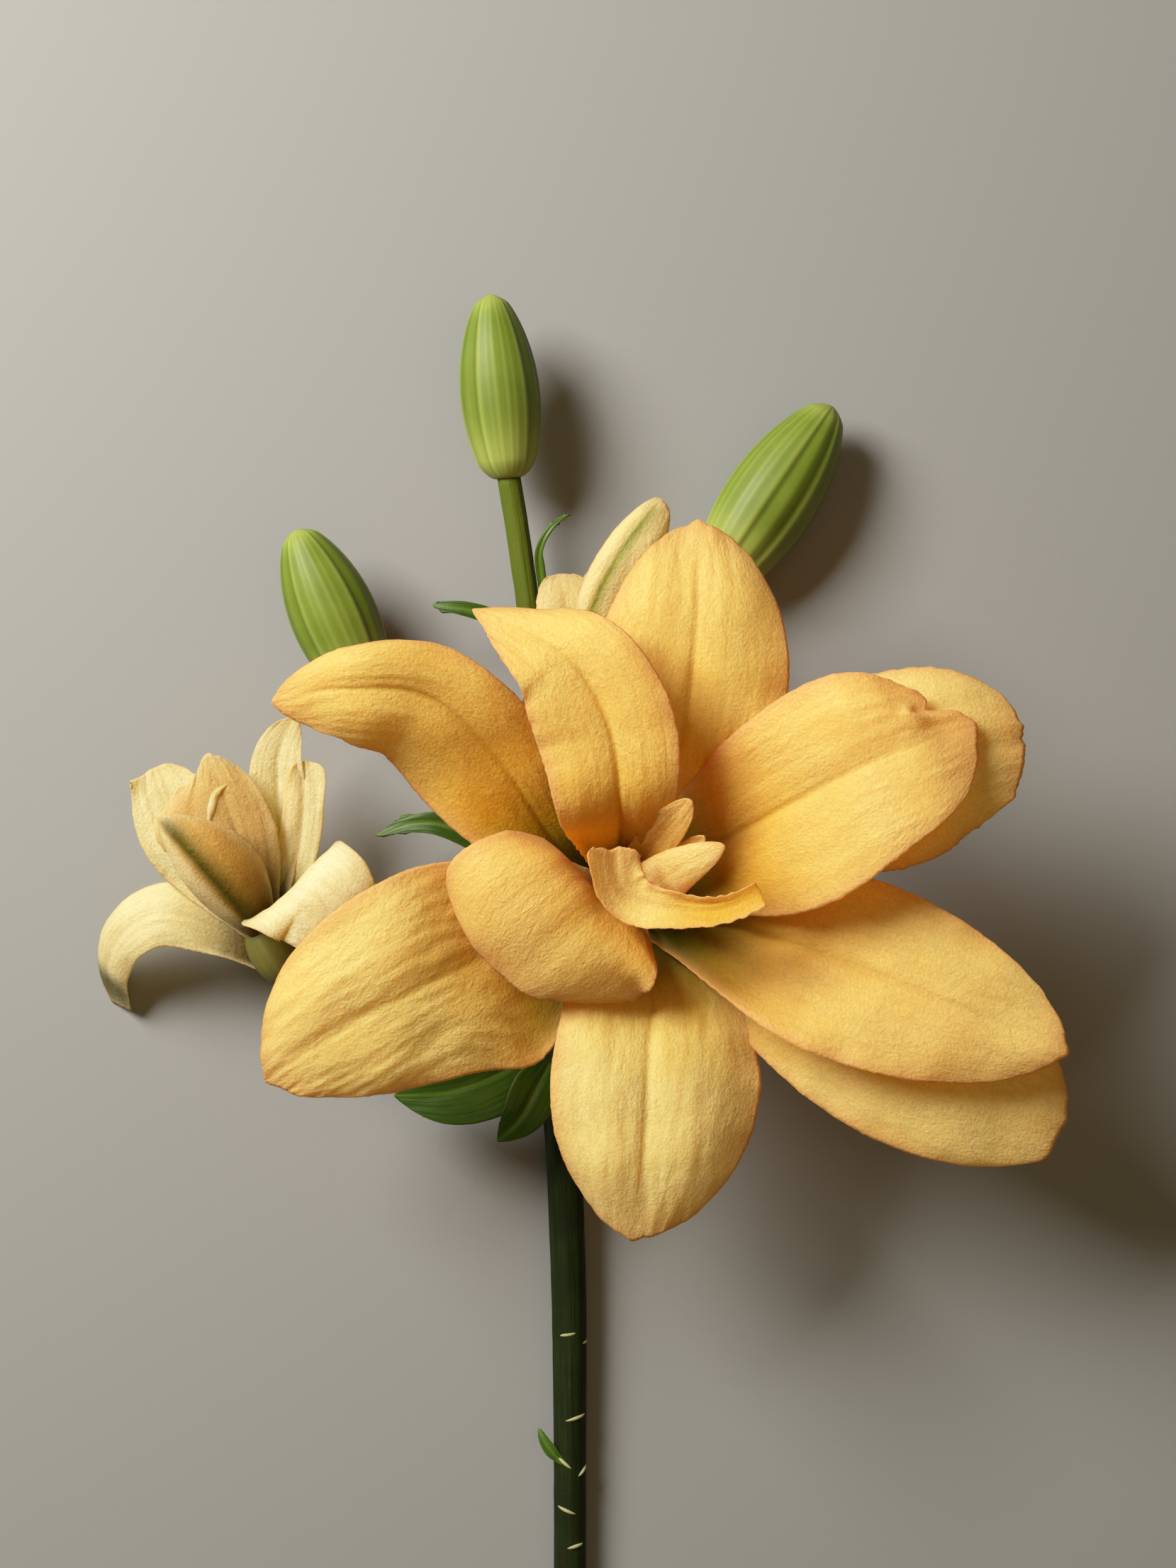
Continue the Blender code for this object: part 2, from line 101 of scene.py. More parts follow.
def along(values, share):
    # smooth curve through evenly spaced numbers or points
    last = len(values) - 1
    index = min(int(share * last), last - 1)
    f = share * last - index
    a = values[max(index - 1, 0)]
    b = values[index]
    c = values[index + 1]
    d = values[min(index + 2, last)]
    straight = b * 2 + (c - a) * f
    bent = (a * 2 - b * 5 + c * 4 - d) * (f * f)
    twisted = (b * 3 - a - c * 3 + d) * (f * f * f)
    return (straight + bent + twisted) * 0.5


def evenPoints(route, count, fineSteps=400):
    # points at even distances along the smooth curve through a route, and the curve's length
    fine = [along([Vector(p) for p in route], i / fineSteps) for i in range(fineSteps + 1)]
    lengths = [0.0]
    for a, b in zip(fine, fine[1:]):
        lengths.append(lengths[-1] + (b - a).length)
    points = []
    index = 0
    for step in range(count + 1):
        target = lengths[-1] * step / count
        while index < fineSteps - 1 and lengths[index + 1] < target:
            index += 1
        span = lengths[index + 1] - lengths[index]
        points.append(fine[index].lerp(fine[index + 1], min((target - lengths[index]) / span, 1)))
    return points, lengths[-1]


def spineFrames(route, facing, count=96):
    # place, direction, left side and upward normal at even steps along a route, and its length
    points, length = evenPoints(route, count)
    reach = points[-1] - points[0]
    heading = math.atan2(reach.y, reach.x) if facing is None else math.radians(facing)
    level = Vector((-math.sin(heading), math.cos(heading), 0))
    side = level
    frames = []
    for i, point in enumerate(points):
        direction = (points[min(i + 1, count)] - points[max(i - 1, 0)]).normalized()
        side = side if facing is None else level
        side = (side - direction * side.dot(direction)).normalized()
        frames.append((point, direction, side, direction.cross(side)))
    return frames, length


def frameAt(frames, share):
    # the spine's place, direction, side and normal between two steps
    last = len(frames) - 1
    index = min(int(share * last), last - 1)
    return [a.lerp(b, share * last - index) for a, b in zip(frames[index], frames[index + 1])]


def smoothStep(low, high, value):
    # 0 at low, 1 at high, easing in and out between them
    f = min(max((value - low) / (high - low), 0), 1)
    return f * f * (3 - 2 * f)


# ---- petals

petalBasics = {
    "halfWidth": 18.0, "skew": 0.0, "claw": 0.24, "widest": 0.6, "point": 0.55,
    "cup": (60, 22, 8),     # how far the sides turn up, in degrees, from root to tip
    "roll": (0, 0, 0),      # how far the petal turns about its spine, in degrees
    "wave": (0.6, 2.0, 0),  # long waves of the rim: height in mm, how many, where they start
    "facing": None,         # heading in degrees of a petal that folds back on itself
    "rows": 108, "columns": 64,
    "furrow": 1.0,     # depth in mm of the channel down the middle
    "bulge": 0.6,      # how far each half swells between the channel and the rim, in mm
    "droop": 0.9,      # how far the rim bends back, in mm
    "wrinkle": 0.1,    # height in mm of the ribs that run from root to tip
    "crumple": 0.09,   # height in mm of short creases along the petal
    "sway": 0.6,       # height in mm of the slow hollows and swells
    "ruffle": 0.45,    # height in mm of the small waves along the rim
    "ragged": 0.3,     # how far the rim wanders, in mm
    "nib": 0.8,        # length in mm of the little point at the tip
    "cream": 0.2,      # 0 is apricot, 1 is pale cream
    "creamHalf": 0.0,  # cream added on the half where across is positive
    "throat": 1.0,     # olive at the root, darkened as painted shade deep in the throat
    "keel": 0.0,       # green down the middle
    "keelWidth": 1.4,  # half width in mm of that green
    "greenTip": 0.0,
    "nicks": (),       # notches in the tip: place across, depth and width in mm
    "bumps": (),       # raised or sunk spots: share along, across, height in mm, size in mm
    "pushes": (),      # parts bent aside: share along, across, move in mm, reach along, reach across
}
swings = {  # how often the relief goes up and down, to the mm
    "rim": (0.35, 1.1), "tip": (0.45, 1.4), "ruffle": 0.16, "tipRuffle": 0.2,
    "crease": (0.6, 0.1), "fineCrease": (1.3, 0.24), "sway": (0.09, 0.07),  # across and along
    "rib": (4.5, 1.7), "fineRib": (10, 3.2),  # to the half width and to the length, so ribs draw together
}
channel = {"broad": 2.4, "fine": 0.55}  # half widths in mm of the hollow down the middle and of its crease
petalShell = {
    "outer": 0.75, "inner": 0.6,  # thickness in mm of the tissue
    "rimThinning": 0.92, "thinnest": 0.2,  # share lost towards the rim, and the least share kept
}


def halfWidthAt(petal, share):
    # the outline: it widens from the claw to the widest place and rounds off to the point
    if share < petal["widest"]:
        rise = share / petal["widest"]
        rise = rise * rise * (3 - 2 * rise)
        return petal["halfWidth"] * (petal["claw"] + (1 - petal["claw"]) * rise ** 0.8)
    fall = (share - petal["widest"]) / (1 - petal["widest"])
    return petal["halfWidth"] * max(1 - fall * fall, 0) ** petal["point"]


def rimShare(petal, across, tipWidth=0.55):
    # share of the length that the rim reaches at a place across, so that the tip is round
    inset = (abs(across) * tipWidth) ** (1 / petal["point"])
    return petal["widest"] + (1 - petal["widest"]) * math.sqrt(1 - inset)


def rimPlace(petal, share, length, up, across, reach, seed):
    # how far the rim wanders: the reach across and the retreat along
    row = share * length
    half = math.copysign(1, across)
    coarse, fine = swings["rim"]
    wander = noise.noise(Vector((row * coarse, 3.1 * half, seed)))
    wander += 0.5 * noise.noise(Vector((row * fine, 7.7 * half, seed)))
    reach += math.copysign(petal["ragged"] * wander * abs(across) ** 6, across)
    coarse, fine = swings["tip"]
    tipWander = noise.noise(Vector((reach * coarse, 11.3, seed)))
    tipWander += 0.5 * noise.noise(Vector((reach * fine, 5.3, seed)))
    retreat = -petal["ragged"] * tipWander * up ** 12
    retreat -= petal["nib"] * math.exp(-(reach / 1.5) ** 2) * up ** 10
    for place, depth, width in petal["nicks"]:
        retreat += depth * math.exp(-((reach - place) / width) ** 2) * up ** 8
    return reach, retreat


def reliefAt(petal, share, length, up, across, reach, seed):
    # height in mm of the petal's own relief over its smooth cup
    row = share * length
    half = math.copysign(1, across)
    far = min(abs(across), 1)
    tipEdge = up ** 12
    body = smoothStep(0.1, 0.35, share)  # the claw stays plain
    height, count, phase = petal["wave"]
    offset = 0.35 if across > 0 else 0
    lift = height * abs(across) ** 2.2 * up * math.sin(math.tau * (count * share + phase + offset))
    # each half swells between the channel and the rim, which bends back
    lift += petal["bulge"] * math.sin(math.pi * far) * body * smoothStep(1.0, 0.8, up)
    lift -= petal["droop"] * (far ** 4 * (1 - tipEdge) + tipEdge) * body
    # the channel: a broad hollow with a fine crease along it
    hollow = 0.5 * math.exp(-(reach / channel["broad"]) ** 2)
    hollow += 0.5 * math.exp(-(reach / channel["fine"]) ** 2)
    lift -= petal["furrow"] * hollow * smoothStep(0.02, 0.2, share) * smoothStep(1.0, 0.6, share)
    # ribs that draw together at the root and the tip, slow swells and rim ruffles
    ribAcross, ribAlong = swings["rib"]
    ribs = noise.noise(Vector((across * ribAcross, share * ribAlong, seed * 2.3)))
    ribAcross, ribAlong = swings["fineRib"]
    ribs += 0.5 * noise.noise(Vector((across * ribAcross, share * ribAlong, seed * 1.7)))
    lift += petal["wrinkle"] * 1.5 * ribs * body * (1 - 0.5 * far ** 4)
    creaseAcross, creaseAlong = swings["crease"]
    creases = noise.noise(Vector((reach * creaseAcross, row * creaseAlong, seed * 1.3)))
    creaseAcross, creaseAlong = swings["fineCrease"]
    creases += 0.6 * noise.noise(Vector((reach * creaseAcross, row * creaseAlong, seed * 2.9)))
    lift += petal["crumple"] * 1.6 * creases * body * (1 - far ** 6)
    swayAcross, swayAlong = swings["sway"]
    lift += petal["sway"] * noise.noise(Vector((reach * swayAcross, row * swayAlong, seed))) * body * 2
    ruffle = noise.noise(Vector((row * swings["ruffle"], 9.0 * half, seed)))
    tipRuffle = noise.noise(Vector((reach * swings["tipRuffle"], 4.4, seed)))
    lift += petal["ruffle"] * 1.6 * (ruffle * far ** 3 * (1 - tipEdge) + tipRuffle * tipEdge) * body
    for place, spot, tall, size in petal["bumps"]:
        lift += tall * math.exp(-((share - place) * length / size) ** 2 - ((reach - spot) / size) ** 2)
    return lift


def petalPlace(petal, frames, length, up, across, seed):
    # a point on the petal's upper face, in mm: up is 0 at the root and 1 at the rim, across -1 to 1
    share = up * rimShare(petal, across)
    halfWidth = halfWidthAt(petal, up * rimShare(petal, 1))
    halfWidth *= 1 + petal["skew"] * (1 if across > 0 else -1)
    cup = math.radians(along(petal["cup"], share))
    roll = math.radians(along(petal["roll"], share))
    point, direction, side, normal = frameAt(frames, share)
    reach, retreat = rimPlace(petal, share, length, up, across, halfWidth * across, seed)
    if abs(cup) < 0.01:
        outward, lift = reach, 0.0
    else:
        radius = halfWidth / cup
        outward = radius * math.sin(reach / radius)
        lift = radius * (1 - math.cos(reach / radius))
    lift += reliefAt(petal, share, length, up, across, reach, seed)
    turnedSide = side * math.cos(roll) + normal * math.sin(roll)
    turnedNormal = normal * math.cos(roll) - side * math.sin(roll)
    spot = point + turnedSide * outward + turnedNormal * lift - direction * retreat
    for place, middle, move, reachAlong, reachAcross in petal["pushes"]:
        offAlong = (share - place) / reachAlong
        offAcross = (across - middle) / reachAcross
        spot += Vector(move) * math.exp(-offAlong ** 2 - offAcross ** 2)
    return spot, share


def growPetal(bm, petal, seed):
    # adds one petal's upper face, with its map, colour attributes and thickness
    frames, length = spineFrames(petal["spine"], petal["facing"])
    mapLayer = bm.loops.layers.uv["petalMap"]
    sizeLayer = bm.loops.layers.uv["petalSize"]
    cream = bm.verts.layers.float["cream"]
    green = bm.verts.layers.float["green"]
    throat = bm.verts.layers.float["throat"]
    weight = bm.verts.layers.deform.verify()
    grid = bmesh.ops.create_grid(bm, x_segments=petal["columns"], y_segments=petal["rows"], size=1)
    faces = {face for vert in grid["verts"] for face in vert.link_faces}
    spots = {vert: (vert.co.x, (vert.co.y + 1) / 2) for vert in grid["verts"]}
    for vert, (across, up) in spots.items():
        spot, share = petalPlace(petal, frames, length, up, across, seed)
        spot.z = max(spot.z, 0)
        vert.co = toRow(spot)
        reach = across * halfWidthAt(petal, up * rimShare(petal, 1))
        vert[cream] = petal["cream"] + petal["creamHalf"] * smoothStep(0.1, 0.5, across)
        keel = petal["keel"] * math.exp(-(reach / petal["keelWidth"]) ** 2) * smoothStep(1.02, 0.94, share)
        tip = petal["greenTip"] * smoothStep(0.8, 0.9, share)
        vert[green] = min(max(keel, tip), 1)
        # the throat's olive, darkened as painted shade where the throat lies deep
        vert[throat] = petal["throat"] * smoothStep(0.4, 0.08, share)
        rim = max(abs(across) ** 3, up ** 9)
        vert[weight][0] = 1 - petalShell["rimThinning"] * rim
    for face in faces:
        for loop in face.loops:
            across, up = spots[loop.vert]
            loop[mapLayer].uv = (across * 0.5 + 0.5, up)
            loop[sizeLayer].uv = (across * petal["halfWidth"] + seed * 50, up * length)
    bmesh.ops.reverse_faces(bm, faces=list(faces))


def newPetalMesh():
    # an empty mesh with the maps and colour attributes that the petal materials read
    bm = bmesh.new()
    bm.loops.layers.uv.new("petalMap")
    bm.loops.layers.uv.new("petalSize")
    bm.verts.layers.float.new("cream")
    bm.verts.layers.float.new("green")
    bm.verts.layers.float.new("throat")
    return bm


def growBloom(name, basics, petals, node, materials, thickness):
    # one piece out of a group of petals, with its tissue below the faces
    bm = newPetalMesh()
    for seed, settings in enumerate(petals.values()):
        growPetal(bm, {**petalBasics, **basics, **settings}, seed + 1)
    bloom = finishPiece(name, bm, node, materials)
    bloom.vertex_groups.new(name="thick")
    shell = bloom.modifiers.new("petal thickness", "SOLIDIFY")
    shell.thickness = thickness * mm
    shell.offset = -1
    shell.vertex_group = "thick"
    shell.thickness_vertex_group = petalShell["thinnest"]
    shell.material_offset = 1  # the back has the second material
    shell.use_rim = True
    return bloom


# ---- petal materials

# each look's throat colour is the throat's olive, darkened as painted shade
petalLook = {
    "apricot": {
        "main": "#f8e074", "deep": "#edba22", "pale": "#fdf0a8", "cream": "#fbf2a8", "creamDeep": "#efd558",
        "throat": "#645e06", "blush": "#f5d07a", "rim": "#efc57a", "vein": "#eab444", "keel": "#98a040",
        "light": "#ffe038", "veins": 0.08,
    },
    "faded": {
        "main": "#dfb85a", "deep": "#8a6012", "pale": "#ecd694", "cream": "#fdf9dc", "creamDeep": "#efe4a2",
        "throat": "#6c4c10", "blush": "#f6ebbe", "rim": "#edd9a6", "vein": "#cfbc62", "keel": "#686210",
        "light": "#fff6b8", "veins": 0.2,
    },
    "waning": {
        "main": "#e8cc7c", "deep": "#b08c28", "pale": "#f2e0a0", "cream": "#fbf4c8", "creamDeep": "#e9dc90",
        "throat": "#7c7c18", "blush": "#f4e0a8", "rim": "#ecd0a0", "vein": "#dccb74", "keel": "#9ca434",
        "light": "#fff4a8", "veins": 0.1,
    },
}
backVeins = 1.6  # how much stronger the veins stand out on a petal's back


def petalMaterial(name, look, back=False):
    # living petal tissue: soft waxy skin of tiny domes that sparkles, veins running lengthwise,
    # a glow where light passes through, and a warm rim
    colours = petalLook[look]
    material, tree = newMaterial(name)
    mapNode = addNode(tree, "ShaderNodeUVMap", {"uv_map": "petalMap"})  # 0 to 1 across and along
    mapXY = addNode(tree, "ShaderNodeSeparateXYZ", inputs={"Vector": mapNode.outputs["UV"]})
    sizeNode = addNode(tree, "ShaderNodeUVMap", {"uv_map": "petalSize"})  # in mm across and along
    place = addNode(tree, "ShaderNodeTexCoord")
    cream, green, throat = [
        addNode(tree, "ShaderNodeAttribute", {"attribute_name": mark}).outputs["Fac"]
        for mark in ("cream", "green", "throat")]
    # how far from the middle line, 0 to 1
    centred = addNode(tree, "ShaderNodeMath", {"operation": "MULTIPLY_ADD"}, {
        0: mapXY.outputs["X"], 1: 2.0, 2: -1.0})
    side = addNode(tree, "ShaderNodeMath", {"operation": "ABSOLUTE"}, {0: centred.outputs[0]})
    # slow patches about 14 mm across
    patches = addNode(tree, "ShaderNodeTexNoise", inputs={
        "Vector": place.outputs["Object"], "Scale": 70.0, "Detail": 3.0, "Roughness": 0.55})
    patchMask = addNode(tree, "ShaderNodeMapRange", inputs={
        "Value": patches.outputs["Fac"], "From Min": 0.3, "From Max": 0.66, "To Min": 0.7})
    # veins that draw together at both ends, about 1.5 mm apart at the widest
    veinPlace = addNode(tree, "ShaderNodeMapping", inputs={
        "Vector": mapNode.outputs["UV"], "Scale": (26.0, 2.2, 1.0)})
    veins = addNode(tree, "ShaderNodeTexNoise", inputs={
        "Vector": veinPlace.outputs["Vector"], "Scale": 1.0, "Detail": 3.0, "Roughness": 0.6,
        "Distortion": 0.3})
    veinMask = addNode(tree, "ShaderNodeMapRange", inputs={
        "Value": veins.outputs["Fac"], "From Min": 0.45, "From Max": 0.7})
    veinShare = addNode(tree, "ShaderNodeMath", {"operation": "MULTIPLY"}, {
        0: veinMask.outputs["Result"], 1: colours["veins"] * (backVeins if back else 1)})
    # skin domes and cells, really 0.05 mm across and drawn 0.5 to 0.7 mm apart so that they show
    domes = addNode(tree, "ShaderNodeTexNoise", inputs={
        "Vector": place.outputs["Object"], "Scale": 2100.0, "Detail": 2.0, "Roughness": 0.6})
    cells = addNode(tree, "ShaderNodeTexVoronoi", inputs={
        "Vector": place.outputs["Object"], "Scale": 1500.0})
    # crepe: soft creases about 1 mm apart, stronger in some patches than in others
    crepePlace = addNode(tree, "ShaderNodeMapping", inputs={
        "Vector": sizeNode.outputs["UV"], "Scale": (0.8, 0.42, 1.0)})
    crepe = addNode(tree, "ShaderNodeTexNoise", inputs={
        "Vector": crepePlace.outputs["Vector"], "Scale": 1.0, "Detail": 4.0, "Roughness": 0.62,
        "Distortion": 0.9})
    crepePatch = addNode(tree, "ShaderNodeMapRange", inputs={
        "Value": patches.outputs["Fac"], "From Min": 0.4, "From Max": 0.62, "To Min": 0.25})
    crepeLift = addNode(tree, "ShaderNodeMath", {"operation": "MULTIPLY"}, {
        0: crepe.outputs["Fac"], 1: crepePatch.outputs["Result"]})
    # colour of the tissue: apricot or cream, deeper towards the root, paler towards the tip
    inner = addNode(tree, "ShaderNodeMapRange", inputs={
        "Value": mapXY.outputs["Y"], "From Min": 0.18, "From Max": 0.6, "To Min": -1.0, "To Max": 0.0})
    ripeness = addNode(tree, "ShaderNodeMath", {"operation": "ADD", "use_clamp": True}, {
        0: patchMask.outputs["Result"], 1: inner.outputs["Result"]})
    fresh, creamy = [
        addNode(tree, "ShaderNodeMix", {"data_type": "RGBA"}, {
            "Factor": ripeness.outputs[0], 6: paint(colours[root]), 7: paint(colours[blade])})
        for root, blade in (("deep", "main"), ("creamDeep", "cream"))]
    tissue = addNode(tree, "ShaderNodeMix", {"data_type": "RGBA"}, {
        "Factor": cream, 6: fresh.outputs[2], 7: creamy.outputs[2]})
    outer = addNode(tree, "ShaderNodeMapRange", inputs={
        "Value": mapXY.outputs["Y"], "From Min": 0.45, "From Max": 0.95, "To Max": 0.45})
    outerPatch = addNode(tree, "ShaderNodeMath", {"operation": "MULTIPLY"}, {
        0: outer.outputs["Result"], 1: patchMask.outputs["Result"]})
    # middle line, as far as two thirds of the way, and fainter on cream petals
    middle = addNode(tree, "ShaderNodeMapRange", {"interpolation_type": "SMOOTHSTEP"}, {
        "Value": side.outputs[0], "From Min": 0.07, "From Max": 0.0, "To Max": 0.5})
    middleReach = addNode(tree, "ShaderNodeMapRange", inputs={
        "Value": mapXY.outputs["Y"], "From Min": 0.9, "From Max": 0.4})
    middleFade = addNode(tree, "ShaderNodeMapRange", inputs={"Value": cream, "To Min": 1.0, "To Max": 0.15})
    middleLine = addNode(tree, "ShaderNodeMath", {"operation": "MULTIPLY"}, {
        0: middle.outputs["Result"], 1: middleFade.outputs["Result"]})
    middleShare = addNode(tree, "ShaderNodeMath", {"operation": "MULTIPLY"}, {
        0: middleLine.outputs[0], 1: middleReach.outputs["Result"]})
    # the rim: a broad blush that fades inwards over about 6 mm, broken up, and a thin warm line
    sideRim = addNode(tree, "ShaderNodeMapRange", inputs={
        "Value": side.outputs[0], "From Min": 0.6, "From Max": 1.0})
    tipRim = addNode(tree, "ShaderNodeMapRange", inputs={
        "Value": mapXY.outputs["Y"], "From Min": 0.84, "From Max": 1.0})
    rim = addNode(tree, "ShaderNodeMath", {"operation": "MAXIMUM"}, {
        0: sideRim.outputs["Result"], 1: tipRim.outputs["Result"]})
    rimBreak = addNode(tree, "ShaderNodeMapRange", inputs={
        "Value": patches.outputs["Fac"], "From Min": 0.34, "From Max": 0.62, "To Min": 0.85, "To Max": 0.2})
    broadRim, thinRim = [
        addNode(tree, "ShaderNodeMath", {"operation": "POWER"}, {0: rim.outputs[0], 1: sharpness})
        for sharpness in (1.6, 6.0)]
    blushShare = addNode(tree, "ShaderNodeMath", {"operation": "MULTIPLY"}, {
        0: broadRim.outputs[0], 1: rimBreak.outputs["Result"]})
    # the colours lie over the tissue one by one
    tint = tissue.outputs[2]
    # the throat layer is olive darkened as painted shade
    for amount, colour in [
        (outerPatch.outputs[0], "pale"), (veinShare.outputs[0], "vein"),
        (middleShare.outputs[0], "keel" if back else "deep"), (throat, "throat"), (green, "keel"),
        (blushShare.outputs[0], "blush"), (thinRim.outputs[0], "rim"),
    ]:
        layer = addNode(tree, "ShaderNodeMix", {"data_type": "RGBA"}, {
            "Factor": amount, 6: tint, 7: paint(colours[colour])})
        tint = layer.outputs[2]
    # painted glints on the domes, and painted highlight and shade along the creases
    sparkle = addNode(tree, "ShaderNodeMapRange", inputs={
        "Value": domes.outputs["Fac"], "From Min": 0.3, "From Max": 0.72, "To Min": 0.9, "To Max": 1.08})
    paintedCreaseShading = addNode(tree, "ShaderNodeMapRange", inputs={
        "Value": crepe.outputs["Fac"], "From Min": 0.3, "From Max": 0.7, "To Min": 0.94, "To Max": 1.06})
    brightness = addNode(tree, "ShaderNodeMath", {"operation": "MULTIPLY"}, {
        0: sparkle.outputs["Result"], 1: paintedCreaseShading.outputs["Result"]})
    skin = addNode(tree, "ShaderNodeHueSaturation", inputs={"Value": brightness.outputs[0], "Color": tint})
    # relief: sunk veins, domes, cells and crepe
    lift = 0.0
    for height, scale in [
        (veinMask.outputs["Result"], -0.2), (domes.outputs["Fac"], 0.5),
        (cells.outputs["Distance"], 0.4), (crepeLift.outputs[0], 2.4),
    ]:
        raised = addNode(tree, "ShaderNodeMath", {"operation": "MULTIPLY_ADD"}, {
            0: height, 1: scale, 2: lift})
        lift = raised.outputs[0]
    relief = addNode(tree, "ShaderNodeBump", inputs={"Strength": 0.6, "Distance": 0.0003, "Height": lift})
    shader = addNode(tree, "ShaderNodeBsdfPrincipled", inputs={
        "Base Color": skin.outputs["Color"], "Roughness": 0.44, "IOR": 1.4, "Specular IOR Level": 0.36,
        "Sheen Weight": 0.05, "Sheen Roughness": 0.4, "Subsurface Weight": 0.2, "Subsurface Scale": 0.0012,
        "Subsurface Radius": (1.0, 0.7, 0.3), "Normal": relief.outputs["Normal"]})
    # light that comes through the tissue is yellower
    through = addNode(tree, "ShaderNodeMix", {"data_type": "RGBA", "blend_type": "MULTIPLY"}, {
        "Factor": 1.0, 6: skin.outputs["Color"], 7: paint(colours["light"])})
    glow = addNode(tree, "ShaderNodeBsdfTranslucent", inputs={
        "Color": through.outputs[2], "Normal": relief.outputs["Normal"]})
    both = addNode(tree, "ShaderNodeMixShader", inputs={0: 0.6, 1: shader.outputs[0], 2: glow.outputs[0]})
    addNode(tree, "ShaderNodeOutputMaterial", inputs={"Surface": both.outputs[0]})
    return material


apricotPetal = petalMaterial("apricot petal, velvety upper face", "apricot")
apricotPetalBack = petalMaterial("apricot petal, ribbed back", "apricot", back=True)
fadedPetal = petalMaterial("faded cream petal", "faded")
fadedPetalBack = petalMaterial("faded cream petal, back", "faded", back=True)
waningPetal = petalMaterial("waning pale petal", "waning")
waningPetalBack = petalMaterial("waning pale petal, back with a green keel", "waning", back=True)

# ---- open bloom

outerPetals = {
    "top": dict(
        spine=[(0, 2, 26), (6.9, 17, 44), (11.2, 33.9, 54), (13.2, 53.8, 57.5), (13.5, 72.8, 54)],
        halfWidth=18.8, widest=0.62, cup=(60, 0, -18), cream=0.15, wrinkle=0.1,
    ),
    "lowerLeft": dict(
        spine=[(-3, -4, 25), (-20, -8, 37), (-37, -15.4, 51), (-54.5, -25, 52.5), (-70, -35.5, 46)],
        halfWidth=20.9, skew=-0.04, widest=0.52, point=0.62, claw=0.34, cup=(60, -6, -18), roll=(0, -11, -8),
        cream=0.55, wrinkle=0.14, crumple=0.2, furrow=0.5, pushes=[(0.27, 1.0, (0, -9.0, 0), 0.15, 0.55)],
    ),
    "lowerRightBack": dict(
        spine=[(4, -3, 25), (24, -14, 38), (43.6, -24.1, 47.5), (64.2, -33.8, 51), (84.8, -42.6, 48.5)],
        halfWidth=18.1, widest=0.66, point=0.5, cup=(60, 2, -14), cream=0.65,
        pushes=[(0.95, -0.7, (1.5, -2.6, 0), 0.15, 0.4)],
    ),
    "upperLeft": dict(
        spine=[(-4, 3, 26), (-13, 10, 37), (-25, 27, 48), (-38, 38.8, 56), (-54, 40.4, 60), (-68, 38.0, 57)],
        halfWidth=14.2, skew=0.22, widest=0.5, point=0.66, cup=(60, -20, -15), roll=(0, -24, -8),
        cream=0.02, nib=0.2,
    ),
    "rightBack": dict(
        spine=[(4, 1, 26), (23, 12, 43), (41.4, 22.5, 54.5), (58.6, 29.3, 60.5), (75.8, 30.3, 59)],
        halfWidth=17.3, widest=0.66, point=0.5, cup=(60, 4, -12), cream=0.6, nib=0, ragged=0.6,
        pushes=[(0.95, -0.8, (1.0, -2.4, 0), 0.12, 0.4), (0.72, -1.0, (1.0, -2.6, 0), 0.18, 0.4)],
    ),
    "bottom": dict(
        spine=[(2, -4, 25), (5, -16, 40), (4.5, -30, 49), (3.4, -48, 52), (1.4, -66, 47)],
        halfWidth=20.8, skew=0.09, widest=0.57, point=0.58, cup=(60, -6, -22),
        roll=(0, -5, -3), cream=1.0, wrinkle=0.16, crumple=0.14,
        pushes=[(0.5, 1.0, (0, 0, -4.0), 0.35, 0.4), (0.22, -1.0, (-5.0, 2.0, 0), 0.15, 0.5)],
    ),
}
middlePetals = {
    "lowerRight": dict(
        spine=[(4, -3, 27), (23, -6, 44), (41, -11.5, 54), (61, -19, 58), (83.3, -28.4, 57)],
        halfWidth=17.8, skew=-0.04, widest=0.52, point=0.62, claw=0.32, cup=(60, 12, 4), roll=(0, -8, 0),
        cream=0.35,
        pushes=[(0.3, -1.0, (0, 0, 2.5), 0.25, 0.2), (0.98, 0.2, (0, 0, 2.0), 0.12, 0.8)],
    ),
    "upperMiddle": dict(
        spine=[(-2, 4, 28), (-1.5, 17, 61), (-3.5, 33, 67.5), (-12, 47, 69), (-28.5, 55.5, 64)],
        halfWidth=13.0, skew=0.06, widest=0.6, point=0.85, cup=(60, 12, -8), facing=95,
        cream=0.1, ragged=0.6,
    ),
    "right": dict(
        spine=[(3, 2, 28), (21, 13, 51), (37, 22.5, 64), (51, 29, 68), (65.5, 34, 64)],
        halfWidth=19.5, widest=0.62, point=0.5, cup=(60, 14, 4), roll=(0, -6, -8), cream=0.2,
        pushes=[(0.93, 0.8, (-3.0, -2.6, 0), 0.12, 0.5), (0.5, 0.9, (1.0, -1.2, 0), 0.2, 0.4),
                (0.4, -1.0, (0.9, -2.6, 0), 0.2, 0.4), (0.75, -1.0, (-0.4, 0.6, 0), 0.1, 0.4)],
        nicks=[(6.5, 3.0, 1.4)], bumps=[(0.9, 6.5, 1.2, 2.2), (0.93, 1.0, -1.0, 4.0)], ragged=0.45,
    ),
    "folded": dict(
        spine=[(-2, -2, 27), (-3.5, -1, 41), (-5.5, 0.5, 52), (-9.5, -2, 58), (-16, -8, 58.5),
               (-23, -16, 52)],
        halfWidth=24, skew=-0.05, widest=0.72, point=0.5, claw=0.16, cup=(60, -10, -20), facing=226,
        roll=(0, -6, -12, -10), furrow=0.0, ruffle=0.2, wave=(0, 1, 0), nib=0, cream=0.1, crumple=0.05,
        pushes=[(0.45, -1.0, (2.0, -4.0, 0), 0.3, 0.6), (0.5, 1.0, (2.0, -0.3, 0), 0.15, 0.4),
                (0.62, 1.0, (1.0, 2.4, 0), 0.13, 0.35),
                (1.0, 1.0, (-3.0, 0.6, 0), 0.12, 0.4)],
    ),
}
